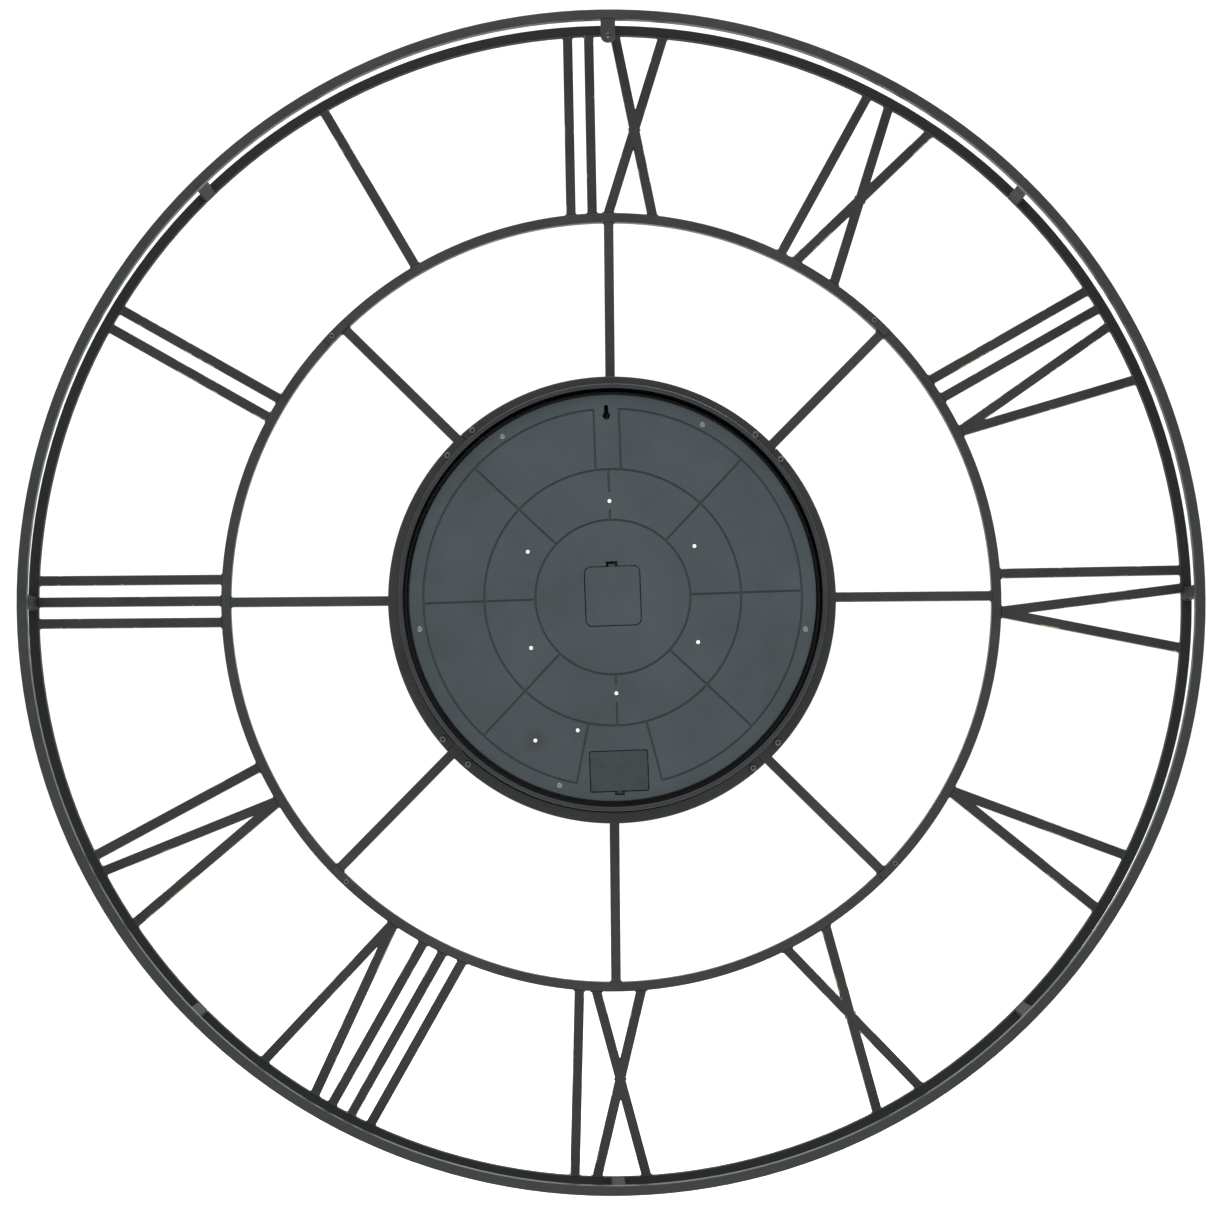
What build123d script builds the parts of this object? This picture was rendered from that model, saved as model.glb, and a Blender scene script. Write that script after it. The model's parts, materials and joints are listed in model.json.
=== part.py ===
from build123d import *
import math
import os

os.makedirs("parts", exist_ok=True)

# Large wall clock: a drum of two steel rims, a middle ring, a hub ring and Roman numerals of square
# tube, with a round plastic clock in the hub. Millimetres, +Z up, the dial faces -Y and the wall is at
# Y = 0. The origin is the centre of the hanging hole, on the wall. Depths are measured forward from the
# wall, and angles counterclockwise from +X as seen from the front.

# Frame of square tube
RIM_OUTER_R = 600.0
RIM_TUBE = 10.0
MIDDLE_OUTER_R = 402.5
HUB_OUTER_R = 231.0
HUB_TUBE = 12.0
BAR_TUBE = 10.0
TUBE_WALL = 1.0
TUBE_CORNER = 1.2
TUBE_INNER_CORNER = 0.3
SEAM = 0.4

# Quarters that the frame comes apart into: the angle where each begins
QUARTERS = {"right": -45.0, "top": 45.0, "left": 135.0, "bottom": 225.0}
QUARTER = 90.0

# Posts between the rims, and the plugs inside the rim tubes at the joints
POST_LENGTH = 51.0
POST_WIDTH = 12.0
JOINT_SIDE = 0.3
PLUG_LENGTH = 60.0
PLUG_PLAY = 0.1

# Hanging bracket under the top of the rear rim
HANG_HOLE_R = 2.5
HANG_HOLE_IN = 17.0
HANG_TAB_WIDTH = 15.0
HANG_TAB_THICK = 3.0
HANG_TAB_GAP = 0.5

# Spokes, and the foot blocks of the joint spokes
FOOT_STEP = 0.5

# Splices across the middle ring's joints, with one screw each
SPLICE_THICK = 2.0
SPLICE_EDGE = 0.5
SPLICE_AHEAD = 10.5
SPLICE_BEHIND = 17.0
RING_SCREW_BEHIND = 9.0
RING_SCREW_R = 1.5
RING_SCREW_LENGTH = 6.0
RING_SCREW_HEAD_R = 2.8
RING_SCREW_HEAD = 1.6

# Screws that hold the hub ring's ends to the clock's lugs
HUB_SCREW_BEHIND = 13.5
HUB_SCREW_AHEAD = 22.9
HUB_SCREW_R = 2.0
HUB_SCREW_PLAY = 0.25
HUB_SCREW_HEAD_R = 3.6
HUB_SCREW_HEAD = 2.2
HUB_SCREW_BITE = 5.5
SOCKET_R = 1.5
SOCKET_DEPTH = 1.4
SCREW_EDGE = 0.9

# Numerals: bars side by side, V and X strokes about their own radius
BAR_PITCH = 22.1
VEE_SPREAD = 62.2
VEE_APEX_IN = 4.5
CROSS_OUTER = 50.5
CROSS_INNER = 45.5
STROKE_SPARE = 25.0
NUMERALS = {
    "numeral_12": dict(angle=90, bars=2, at=-29.0, lean=-0.6, cross=3.25),
    "numeral_01": dict(angle=60, bars=1, at=0.0, lean=0.0),
    "numeral_02": dict(angle=30, bars=2, at=0.0, lean=0.0),
    "numeral_03": dict(angle=0, bars=3, at=1.5, lean=0.0),
    "numeral_04": dict(angle=-30, bars=1, at=38.5, lean=2.1, vee=-0.7),
    "numeral_08": dict(angle=-60, bars=3, at=-27.0, lean=0.0, vee=4.5),
    "numeral_09": dict(angle=-90, bars=1, at=40.7, lean=1.9, cross=-0.4),
    "numeral_10": dict(angle=-120, bars=0, at=0.0, lean=0.0, cross=0.8),
    "numeral_05": dict(angle=-150, bars=0, at=0.0, lean=0.0, vee=0.1),
    "numeral_06": dict(angle=180, bars=1, at=-24.0, lean=-0.6, vee=2.4),
    "numeral_07": dict(angle=150, bars=2, at=-16.3, lean=0.7, vee=4.7),
    "numeral_11": dict(angle=120, bars=1, at=-25.4, lean=-0.7, cross=2.3),
}

# Round clock in the hub: it sits a little turned in the frame
CLOCK_TURN = -1.5
CASE_CLEARANCE = 1.0
CASE_WALL = 3.0
CASE_FLOOR = 3.0
CASE_FLOOR_BACK = 6.0
CASE_FLOOR_LEDGE = 5.9
CASE_RIB_OUT = 4.3
CASE_RIB_WIDTH = 2.0
CASE_RIB_HEIGHT = 12.0
SKIRT_WALL = 2.5
SKIRT_LIP = 4.5
SKIRT_LIP_THICK = 2.0
SKIRT_LIP_ROUND = 0.9
SKIRT_STAND = 8.0
LUG_THICK = 7.0
LUG_MARGIN = 12.0

# Back cover with its grooves
COVER_INSET = 10.0
COVER_DEPTH = 36.0
COVER_PLATE = 3.0
COVER_WALL = 2.5
COVER_EDGE = 1.2
INNER_GROOVE_R = 79.0
MIDDLE_GROOVE_R = 131.0
OUTER_GROOVE_IN = 15.0
GROOVE_WIDTH = 2.2
GROOVE_DEPTH = 1.2
SPOKE_GROOVE_ANGLES = (0.0, 45.0, 135.0, 180.0, 225.0, 315.0)
DOT_GROOVE_GAP = 9.0
HANGER_PANEL_HALF = 13.0
DOOR_PANEL_HALF_ANGLE = 13.0

# Keyhole of the back cover
KEYHOLE_R = 4.0
KEYHOLE_SLOT = 4.4
KEYHOLE_RISE = 9.0
KEYHOLE_IN = 22.0

# Cover screws and white plugs
COVER_SCREW_IN = 8.5
COVER_SCREW_ANGLES = (57.5, 119.5, 191.5, 287.8, 352.5)
COVER_SCREW_R = 1.5
COVER_SCREW_LENGTH = 14.0
COVER_SCREW_HEAD_R = 3.0
COVER_SCREW_HEAD = 1.6
COVER_SCREW_SINK = 1.2
BOSS_R = 3.6
DOT_CIRCLE_R = 98.3
DOT_COUNT = 6
DOT_FIRST_ANGLE = 30.0
LOOSE_DOTS = ((40.6, -134.5), (84.0, -143.3))
DOT_HEAD_R = 1.9
DOT_HEAD = 0.9
DOT_STEM_R = 1.3
DOT_STEM = 6.0

# Movement cover and battery door: plates on pins, flush in the back cover
MOVEMENT_DOOR = (56.0, 60.0)
MOVEMENT_DOOR_UP = 1.0
MOVEMENT_DOOR_CORNER = 6.0
MOVEMENT_HINGE_INSET = 6.0
MOVEMENT_NOTCH = (12.0, 5.5)
BATTERY_DOOR = (58.6, 40.6)
BATTERY_DOOR_IN = 10.4
BATTERY_DOOR_CORNER = 1.5
BATTERY_HINGE_INSET = 2.5
BATTERY_NOTCH = (10.0, 4.0)
DOOR_GAP = 0.8
DOOR_EDGE = 0.6
HINGE_SINK = 1.1
HINGE_PIN_R = 0.8
HINGE_PIN_PLAY = 0.06
HINGE_PIN_REACH = 1.5
HINGE_PIN_ROOT = 4.0
TONGUE_SHARE = 0.5

# Dial, lens and bezel
DIAL_THICK = 1.5
DIAL_EDGE_PLAY = 0.5
LENS_THICK = 2.5
LENS_EDGE_PLAY = 0.5
LENS_GAP = 2.4
BEZEL_LIP = 3.5
BEZEL_COVER = 11.5
BEZEL_WALL = 5.5
BEZEL_LUG_GAP = 0.5
BEZEL_BEVEL = 2.0

# Movement
MOVEMENT_SIZE = 56.0
MOVEMENT_CORNER = 4.0
MOVEMENT_DEPTH = 20.0
MOVEMENT_WALL = 1.5
MOVEMENT_PLATE = 2.5
BUSH_R = 4.0
BUSH_LENGTH = 5.6
BUSH_HOLE_PLAY = 0.3
NUT_FLATS = 11.0
NUT_THICK = 2.2
ARBOR_R = 1.75
PIPE_R = 3.0
TURN_PLAY = 0.07
PIVOT_R = 0.8
PIVOT_DEPTH = 1.0
PIVOT_PLAY = 0.05
END_SHAKE = 0.1
WHEEL_ARBOR_R = 1.2

# Gears of the motion work: the minute hand's pinion turns the minute wheel, whose pinion turns the hour
# wheel, and the setting knob's pinion turns the minute wheel
GEAR_DISTANCE = 12.0
PINION_TEETH = 12
MINUTE_WHEEL_TEETH = 36
MINUTE_PINION_TEETH = 10
HOUR_WHEEL_TEETH = 40
PRESSURE_ANGLE = math.radians(20.0)
BACKLASH = 0.08
PINION_ADDENDUM = 1.0
PINION_DEDENDUM = 0.9
WHEEL_ADDENDUM = 0.6
WHEEL_DEDENDUM = 1.25
GEAR_THICK = 1.4
MINUTE_GEAR_AHEAD = 6.0
HOUR_GEAR_AHEAD = 11.0
SETTING_ANGLE = -30.0

# Setting knob
KNOB_R = 7.0
KNOB_THICK = 4.0
KNOB_STAND = 2.0
KNOB_SHAFT_R = 2.0
KNOB_GRIPS = 18
KNOB_GRIP_R = 0.6

# Hands, set at ten past ten
MINUTE_HAND_TURN = -60.0
HOUR_HAND_TURN = 55.0
MINUTE_HAND_SHORT = 28.5
MINUTE_HAND_TAIL = 42.0
MINUTE_HAND_WIDTH = 9.0
HOUR_HAND_SHORT = 84.5
HOUR_HAND_TAIL = 30.0
HOUR_HAND_WIDTH = 13.0
HAND_THICK = 1.0
HAND_TIP_WIDTH = 2.5
HAND_BOSS_R = 9.0
HAND_GAP = 2.0
HOUR_HAND_STAND = 0.8
CAP_R = 4.0
CAP_THICK = 2.2
ARBOR_TIP = 1.2

# Battery tray, two cells and their contacts
TRAY_WALL = 1.5
TRAY_MARGIN = 1.0
TRAY_FLOOR = 1.6
CELL_R = 7.1
CELL_LENGTH = 50.5
CELL_NUB = 1.3
CELL_NUB_R = 2.75
CELL_GAP = 3.8
CELL_ROOM = 2.8
CONTACT_SIZE = 9.0
CONTACT_THICK = 0.5
CONTACT_BASE_R = 4.0
CONTACT_TIP_R = 2.5
LEAD_R = 0.7
LEAD_SPACING = 10.0

# Radii worked out from the driving sizes
RIM_INNER_R = RIM_OUTER_R - RIM_TUBE
MIDDLE_INNER_R = MIDDLE_OUTER_R - BAR_TUBE
MIDDLE_MID_R = MIDDLE_OUTER_R - BAR_TUBE / 2
HUB_INNER_R = HUB_OUTER_R - HUB_TUBE
HUB_MID_R = HUB_OUTER_R - HUB_TUBE / 2
CASE_R = HUB_INNER_R - CASE_CLEARANCE
CASE_INNER_R = CASE_R - CASE_WALL
BEZEL_OUTER_R = CASE_R + BEZEL_WALL
BEZEL_LIP_R = CASE_R - BEZEL_COVER
COVER_R = CASE_R - COVER_INSET
COVER_SCREW_CIRCLE_R = COVER_R - COVER_SCREW_IN
CASE_FLOOR_INNER_R = COVER_SCREW_CIRCLE_R - BOSS_R - CASE_FLOOR_LEDGE
OUTER_GROOVE_R = COVER_R - OUTER_GROOVE_IN

# Other sizes and places worked out from the driving sizes
HANG_DROP = RIM_INNER_R - HANG_HOLE_IN
FOOT_WIDTH = BAR_TUBE + 2 * FOOT_STEP
KEYHOLE_UP = COVER_R - KEYHOLE_IN
BATTERY_DOOR_UP = BATTERY_DOOR_IN + BATTERY_DOOR[1] / 2 - COVER_R
MINUTE_HAND_LENGTH = BEZEL_LIP_R - MINUTE_HAND_SHORT
HOUR_HAND_LENGTH = BEZEL_LIP_R - HOUR_HAND_SHORT
TRAY_LENGTH = BATTERY_DOOR[0] + 2 * DOOR_GAP + TRAY_MARGIN
TRAY_HEIGHT = BATTERY_DOOR[1] + 2 * DOOR_GAP + TRAY_MARGIN
TRAY_DEPTH = 2 * CELL_R + CELL_ROOM
CONTACT_REACH = (TRAY_LENGTH - CELL_LENGTH) / 2 - CONTACT_THICK
CELL_PITCH = 2 * CELL_R + CELL_GAP

# Depths worked out from the driving sizes, from the wall forward
FRAME_REAR = RIM_TUBE + POST_LENGTH
FRAME_MID = FRAME_REAR + RIM_TUBE / 2
BAR_REAR = FRAME_MID - BAR_TUBE / 2
HUB_REAR = FRAME_MID - HUB_TUBE / 2
HUB_FRONT = FRAME_MID + HUB_TUBE / 2
CASE_REAR = HUB_FRONT - CASE_FLOOR_BACK
DIAL_REAR = CASE_REAR + CASE_FLOOR
DIAL_FRONT = DIAL_REAR + DIAL_THICK
COVER_REAR = CASE_REAR - COVER_DEPTH
COVER_INNER = COVER_REAR + COVER_PLATE
SKIRT_REAR = COVER_REAR - SKIRT_STAND
MOVEMENT_REAR = DIAL_REAR - MOVEMENT_DEPTH
MOVEMENT_FLOOR = MOVEMENT_REAR + MOVEMENT_WALL
PLATE_REAR = DIAL_REAR - MOVEMENT_PLATE
BUSH_TOP = DIAL_REAR + BUSH_LENGTH
HOUR_HAND_REAR = BUSH_TOP + HOUR_HAND_STAND
HOUR_HAND_FRONT = HOUR_HAND_REAR + HAND_THICK
MINUTE_HAND_REAR = HOUR_HAND_FRONT + HAND_GAP
MINUTE_HAND_FRONT = MINUTE_HAND_REAR + HAND_THICK
LENS_REAR = MINUTE_HAND_FRONT + CAP_THICK + LENS_GAP
LENS_FRONT = LENS_REAR + LENS_THICK
BEZEL_REAR = HUB_FRONT + LUG_THICK + BEZEL_LUG_GAP
BEZEL_FRONT = LENS_FRONT + BEZEL_LIP
MINUTE_GEAR_REAR = MOVEMENT_REAR + MINUTE_GEAR_AHEAD
HOUR_GEAR_REAR = MOVEMENT_REAR + HOUR_GEAR_AHEAD
TRAY_FLOOR_REAR = COVER_INNER + TRAY_DEPTH

# Planes that face forward: the frame's, and the clock's, which is turned in it
WALL = Plane(origin=(0, 0, -HANG_DROP), x_dir=(1, 0, 0), z_dir=(0, -1, 0))
FORWARD = Axis(WALL.origin, WALL.z_dir)


def turned(plane, angle):
    """A plane that faces forward, turned in itself, counterclockwise."""
    return plane.rotated((0, -angle, 0))


CLOCK = turned(WALL, CLOCK_TURN)


def polar(radius, angle, across=0.0):
    """Point at a radius along an angle, moved across it, counterclockwise."""
    turn = math.radians(angle)
    x = radius * math.cos(turn) - across * math.sin(turn)
    y = radius * math.sin(turn) + across * math.cos(turn)
    return (x, y)


def angle_of(length, radius):
    """Degrees that a length takes up at a radius."""
    return math.degrees(math.asin(length / radius))


def radial_plane(angle):
    """Plane through the clock's axis: x outward along an angle, y forward."""
    outward = turned(WALL, angle).x_dir
    return Plane(origin=WALL.origin, x_dir=outward, z_dir=outward.cross(WALL.z_dir))


def save(name, *pieces):
    """Writes one piece, or a group of solids that belong together, as its own file."""
    solids = [solid for piece in pieces for solid in piece.solids()]
    group = Compound(solids) if len(solids) > 1 else solids[0]
    group.label = name
    export_step(group, f"parts/{name}.step")


def tube_section(size):
    """Square tube's section, drawn in the open sketch."""
    bore = size - 2 * TUBE_WALL
    RectangleRounded(size, size, TUBE_CORNER)
    RectangleRounded(bore, bore, TUBE_INNER_CORNER, mode=Mode.SUBTRACT)


def tube_arc(outer_r, size, mid_depth, start, end):
    """Square tube bent about the clock's axis: its section revolved from start to end."""
    with BuildPart() as arc:
        with BuildSketch(radial_plane(start)):
            with Locations((outer_r - size / 2, mid_depth)):
                tube_section(size)
        revolve(axis=FORWARD, revolution_arc=end - start)
    return arc.part


def sector(inner_r, outer_r, start, end):
    """Part of a flat ring from start to end, drawn in the open sketch."""
    with BuildLine() as outline:
        inside = CenterArc((0, 0), inner_r, start, end - start)
        outside = CenterArc((0, 0), outer_r, start, end - start)
        Line(inside @ 0, outside @ 0)
        Line(inside @ 1, outside @ 1)
    make_face(outline.edges())


def band(inner_r, outer_r):
    """Flat ring as deep as the bars and tubes of the front frame, for trimming their ends."""
    with BuildPart() as ring:
        with BuildSketch(WALL.offset(FRAME_REAR - RIM_TUBE)):
            Circle(outer_r)
            Circle(inner_r, mode=Mode.SUBTRACT)
        extrude(amount=3 * RIM_TUBE)
    return ring.part


def bar_plane(inner_point, outer_point):
    """Plane square to a bar, a spare length before its inner point."""
    layer = WALL.offset(FRAME_MID)
    start = layer.from_local_coords(Vector(*inner_point))
    along = (layer.from_local_coords(Vector(*outer_point)) - start).normalized()
    return Plane(origin=start - along * STROKE_SPARE, x_dir=WALL.z_dir, z_dir=along)


def bar_length(inner_point, outer_point):
    """Length of a bar with its spare at both ends."""
    return math.dist(inner_point, outer_point) + 2 * STROKE_SPARE


def solid_bar(inner_point, outer_point):
    """Bar with no bore, for cutting another bar where the two cross."""
    with BuildPart() as bar:
        with BuildSketch(bar_plane(inner_point, outer_point)):
            RectangleRounded(BAR_TUBE, BAR_TUBE, TUBE_CORNER)
        extrude(amount=bar_length(inner_point, outer_point))
    return bar.part


def tube_bar(inner_point, outer_point, trim, side=None, cutter=None):
    """Square tube from point to point, its ends trimmed to a band, cut off at a plane or by another bar."""
    with BuildPart() as bar:
        with BuildSketch(bar_plane(inner_point, outer_point)):
            tube_section(BAR_TUBE)
        extrude(amount=bar_length(inner_point, outer_point))
        add(trim, mode=Mode.INTERSECT)
        if side is not None:
            split(bisect_by=side, keep=Keep.TOP)
        if cutter is not None:
            add(cutter, mode=Mode.SUBTRACT)
    return bar.part


# Rims and rings, one arc for each quarter
rim_seam = angle_of(SEAM / 2, RIM_OUTER_R)
middle_seam = angle_of(SEAM / 2, MIDDLE_OUTER_R)
hub_seam = angle_of(SEAM / 2, HUB_OUTER_R)
foot_far_side = angle_of(JOINT_SIDE + FOOT_WIDTH, HUB_INNER_R)
foot_near_side = angle_of(JOINT_SIDE, HUB_OUTER_R)

for quarter, start in QUARTERS.items():
    end = start + QUARTER

    rim_start = start + rim_seam
    rim_end = end - rim_seam
    save(f"rear_rim_{quarter}", tube_arc(RIM_OUTER_R, RIM_TUBE, RIM_TUBE / 2, rim_start, rim_end))
    save(f"front_rim_{quarter}", tube_arc(RIM_OUTER_R, RIM_TUBE, FRAME_MID, rim_start, rim_end))

    middle_tube = tube_arc(MIDDLE_OUTER_R, BAR_TUBE, FRAME_MID, start + middle_seam, end - middle_seam)
    with BuildPart() as middle_ring:
        add(middle_tube)
        with BuildSketch(WALL.offset(BAR_REAR)):
            with Locations(polar(MIDDLE_MID_R, end, -RING_SCREW_BEHIND)):
                Circle(RING_SCREW_R)
        extrude(amount=TUBE_WALL, mode=Mode.SUBTRACT)
    save(f"middle_ring_{quarter}", middle_ring.part)

    hub_start = start + foot_far_side + hub_seam
    hub_end = end + foot_near_side - hub_seam
    hub_tube = tube_arc(HUB_OUTER_R, HUB_TUBE, FRAME_MID, hub_start, hub_end)
    screw_ahead = polar(HUB_MID_R, start, HUB_SCREW_AHEAD)
    screw_behind = polar(HUB_MID_R, end, -HUB_SCREW_BEHIND)
    with BuildPart() as hub_ring:
        add(hub_tube)
        with BuildSketch(WALL.offset(HUB_REAR)):
            with Locations(screw_ahead, screw_behind):
                Circle(HUB_SCREW_R + HUB_SCREW_PLAY)
        extrude(amount=HUB_TUBE, mode=Mode.SUBTRACT)
    save(f"hub_ring_{quarter}", hub_ring.part)

# Posts that hold the rims apart: one beside each joint and one at the middle of each quarter
with BuildPart() as rim_posts:
    with BuildSketch(WALL.offset(RIM_TUBE)):
        for start in QUARTERS.values():
            middle = start + QUARTER / 2
            beside_joint = polar(RIM_OUTER_R - RIM_TUBE / 2, start, JOINT_SIDE + POST_WIDTH / 2)
            at_middle = polar(RIM_OUTER_R - RIM_TUBE / 2, middle)
            for place, angle in ((beside_joint, start), (at_middle, middle)):
                with Locations(Location((*place, 0), (0, 0, angle))):
                    Rectangle(RIM_TUBE, POST_WIDTH)
                    Rectangle(RIM_TUBE - 2 * TUBE_WALL, POST_WIDTH - 2 * TUBE_WALL, mode=Mode.SUBTRACT)
    extrude(amount=POST_LENGTH)
save("rim_posts", rim_posts.part)

# Plugs inside the rim tubes, across each joint
plug_size = RIM_TUBE - 2 * TUBE_WALL - 2 * PLUG_PLAY
plug_half = angle_of(PLUG_LENGTH / 2, RIM_OUTER_R)
rim_plugs = []
for start in QUARTERS.values():
    for mid_depth in (RIM_TUBE / 2, FRAME_MID):
        with BuildPart() as rim_plug:
            with BuildSketch(radial_plane(start - plug_half)):
                with Locations((RIM_OUTER_R - RIM_TUBE / 2, mid_depth)):
                    RectangleRounded(plug_size, plug_size, TUBE_INNER_CORNER)
            revolve(axis=FORWARD, revolution_arc=2 * plug_half)
        rim_plugs.append(rim_plug.part)
save("rim_plugs", *rim_plugs)

# Hanging bracket: a round-ended tab on the rear rim's inner face
with BuildPart() as hang_bracket:
    with BuildSketch(WALL):
        with Locations((0, HANG_DROP)):
            Circle(HANG_TAB_WIDTH / 2)
            Rectangle(HANG_TAB_WIDTH, HANG_HOLE_IN, align=(Align.CENTER, Align.MIN))
        Circle(RIM_INNER_R - HANG_TAB_GAP, mode=Mode.INTERSECT)
        with Locations((0, HANG_DROP)):
            Circle(HANG_HOLE_R, mode=Mode.SUBTRACT)
    extrude(amount=HANG_TAB_THICK)
save("hang_bracket", hang_bracket.part)

# Straight spokes at the middle of each quarter
spoke_band = band(HUB_OUTER_R, MIDDLE_INNER_R)
straight_spokes = []
for start in QUARTERS.values():
    middle = start + QUARTER / 2
    straight_spokes.append(tube_bar(polar(HUB_OUTER_R, middle), polar(MIDDLE_INNER_R, middle), spoke_band))
save("straight_spokes", *straight_spokes)

# Joint spokes beside each joint, each with a foot block that stands between the hub ring's ends
foot_across = JOINT_SIDE + FOOT_WIDTH / 2
joint_spokes = []
for start in QUARTERS.values():
    inner_point = polar(HUB_OUTER_R, start, foot_across)
    outer_point = polar(MIDDLE_INNER_R, start, foot_across)
    spoke_bar = tube_bar(inner_point, outer_point, spoke_band)
    with BuildPart() as joint_spoke:
        add(spoke_bar)
        with BuildSketch(WALL.offset(HUB_REAR)):
            with Locations(Location((*polar(HUB_MID_R, start, foot_across), 0), (0, 0, start))):
                Rectangle(2 * HUB_TUBE, FOOT_WIDTH)
            Circle(HUB_OUTER_R, mode=Mode.INTERSECT)
            Circle(HUB_INNER_R, mode=Mode.SUBTRACT)
        extrude(amount=HUB_TUBE)
    joint_spokes.append(joint_spoke.part)
save("joint_spokes", *joint_spokes)

# Splices on the middle ring's rear face, and their screws
splice_rear = BAR_REAR - SPLICE_THICK
ring_screw_points = [polar(MIDDLE_MID_R, start, -RING_SCREW_BEHIND) for start in QUARTERS.values()]
splice_ahead = angle_of(SPLICE_AHEAD, MIDDLE_MID_R)
splice_behind = angle_of(SPLICE_BEHIND, MIDDLE_MID_R)
with BuildPart() as ring_splices:
    with BuildSketch(WALL.offset(splice_rear)):
        for start in QUARTERS.values():
            sector(
                MIDDLE_INNER_R + SPLICE_EDGE,
                MIDDLE_OUTER_R - SPLICE_EDGE,
                start - splice_behind,
                start + splice_ahead,
            )
        with Locations(*ring_screw_points):
            Circle(RING_SCREW_R, mode=Mode.SUBTRACT)
    extrude(amount=SPLICE_THICK)
save("ring_splices", ring_splices.part)

with BuildPart() as ring_screws:
    with BuildSketch(WALL.offset(splice_rear)):
        with Locations(*ring_screw_points):
            Circle(RING_SCREW_HEAD_R)
    extrude(amount=-RING_SCREW_HEAD)
    fillet(ring_screws.edges().filter_by(GeomType.CIRCLE).group_by(Axis.Y)[-1], SCREW_EDGE)
    with BuildSketch(WALL.offset(splice_rear - RING_SCREW_HEAD)):
        with Locations(*ring_screw_points):
            RegularPolygon(SOCKET_R, 6)
    extrude(amount=RING_SCREW_HEAD / 2, mode=Mode.SUBTRACT)
    with BuildSketch(WALL.offset(splice_rear)):
        with Locations(*ring_screw_points):
            Circle(RING_SCREW_R)
    extrude(amount=RING_SCREW_LENGTH)
save("ring_screws", ring_screws.part)

# Hub screws, two at each joint, through the hub ring into the clock's lugs
hub_screw_points = []
for start in QUARTERS.values():
    hub_screw_points.append(polar(HUB_MID_R, start, HUB_SCREW_AHEAD))
    hub_screw_points.append(polar(HUB_MID_R, start, -HUB_SCREW_BEHIND))
with BuildPart() as hub_screws:
    with BuildSketch(WALL.offset(HUB_REAR)):
        with Locations(*hub_screw_points):
            Circle(HUB_SCREW_HEAD_R)
    extrude(amount=-HUB_SCREW_HEAD)
    fillet(hub_screws.edges().filter_by(GeomType.CIRCLE).group_by(Axis.Y)[-1], SCREW_EDGE)
    with BuildSketch(WALL.offset(HUB_REAR - HUB_SCREW_HEAD)):
        with Locations(*hub_screw_points):
            RegularPolygon(SOCKET_R, 6)
    extrude(amount=SOCKET_DEPTH, mode=Mode.SUBTRACT)
    with BuildSketch(WALL.offset(HUB_REAR)):
        with Locations(*hub_screw_points):
            Circle(HUB_SCREW_R)
    extrude(amount=HUB_TUBE + HUB_SCREW_BITE)
save("hub_screws", hub_screws.part)

# Numerals: each bar, V arm and X arm is its own length of tube between the middle ring and the front rim
numeral_band = band(MIDDLE_OUTER_R, RIM_INNER_R)
bar_height = RIM_INNER_R - MIDDLE_OUTER_R


def numeral_bars(angle, bars, at, lean):
    """Bars side by side, centred on a distance across the numeral's radius, all leaning alike."""
    sway = bar_height / 2 * math.tan(math.radians(lean))
    pieces = []
    for count in range(bars):
        across = at + (count - (bars - 1) / 2) * BAR_PITCH
        inner_point = polar(MIDDLE_OUTER_R, angle, across - sway)
        outer_point = polar(RIM_INNER_R, angle, across + sway)
        pieces.append(tube_bar(inner_point, outer_point, numeral_band))
    return pieces


def numeral_vee(angle):
    """V about a radius: two arms, mitred where they meet at the middle ring."""
    pieces = []
    apex = polar(MIDDLE_OUTER_R - VEE_APEX_IN, angle)
    middle = radial_plane(angle)
    for half_spread in (VEE_SPREAD / 2, -VEE_SPREAD / 2):
        outer_point = polar(RIM_INNER_R, angle, half_spread)
        outward = middle.z_dir * -math.copysign(1, half_spread)
        side = Plane(origin=middle.origin, x_dir=middle.x_dir, z_dir=outward)
        pieces.append(tube_bar(apex, outer_point, numeral_band, side=side))
    return pieces


def numeral_cross(angle):
    """X about a radius: one whole arm, and another cut in two by it."""
    whole_inner = polar(MIDDLE_OUTER_R, angle, CROSS_INNER / 2)
    whole_outer = polar(RIM_INNER_R, angle, -CROSS_OUTER / 2)
    cut_inner = polar(MIDDLE_OUTER_R, angle, -CROSS_INNER / 2)
    cut_outer = polar(RIM_INNER_R, angle, CROSS_OUTER / 2)
    whole_arm = tube_bar(whole_inner, whole_outer, numeral_band)
    cut_arm = tube_bar(cut_inner, cut_outer, numeral_band, cutter=solid_bar(whole_inner, whole_outer))
    return [whole_arm, cut_arm]


for name, numeral in NUMERALS.items():
    pieces = numeral_bars(numeral["angle"], numeral["bars"], numeral["at"], numeral["lean"])
    if "vee" in numeral:
        pieces += numeral_vee(numeral["angle"] + numeral["vee"])
    if "cross" in numeral:
        pieces += numeral_cross(numeral["angle"] + numeral["cross"])
    save(name, *pieces)

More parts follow.
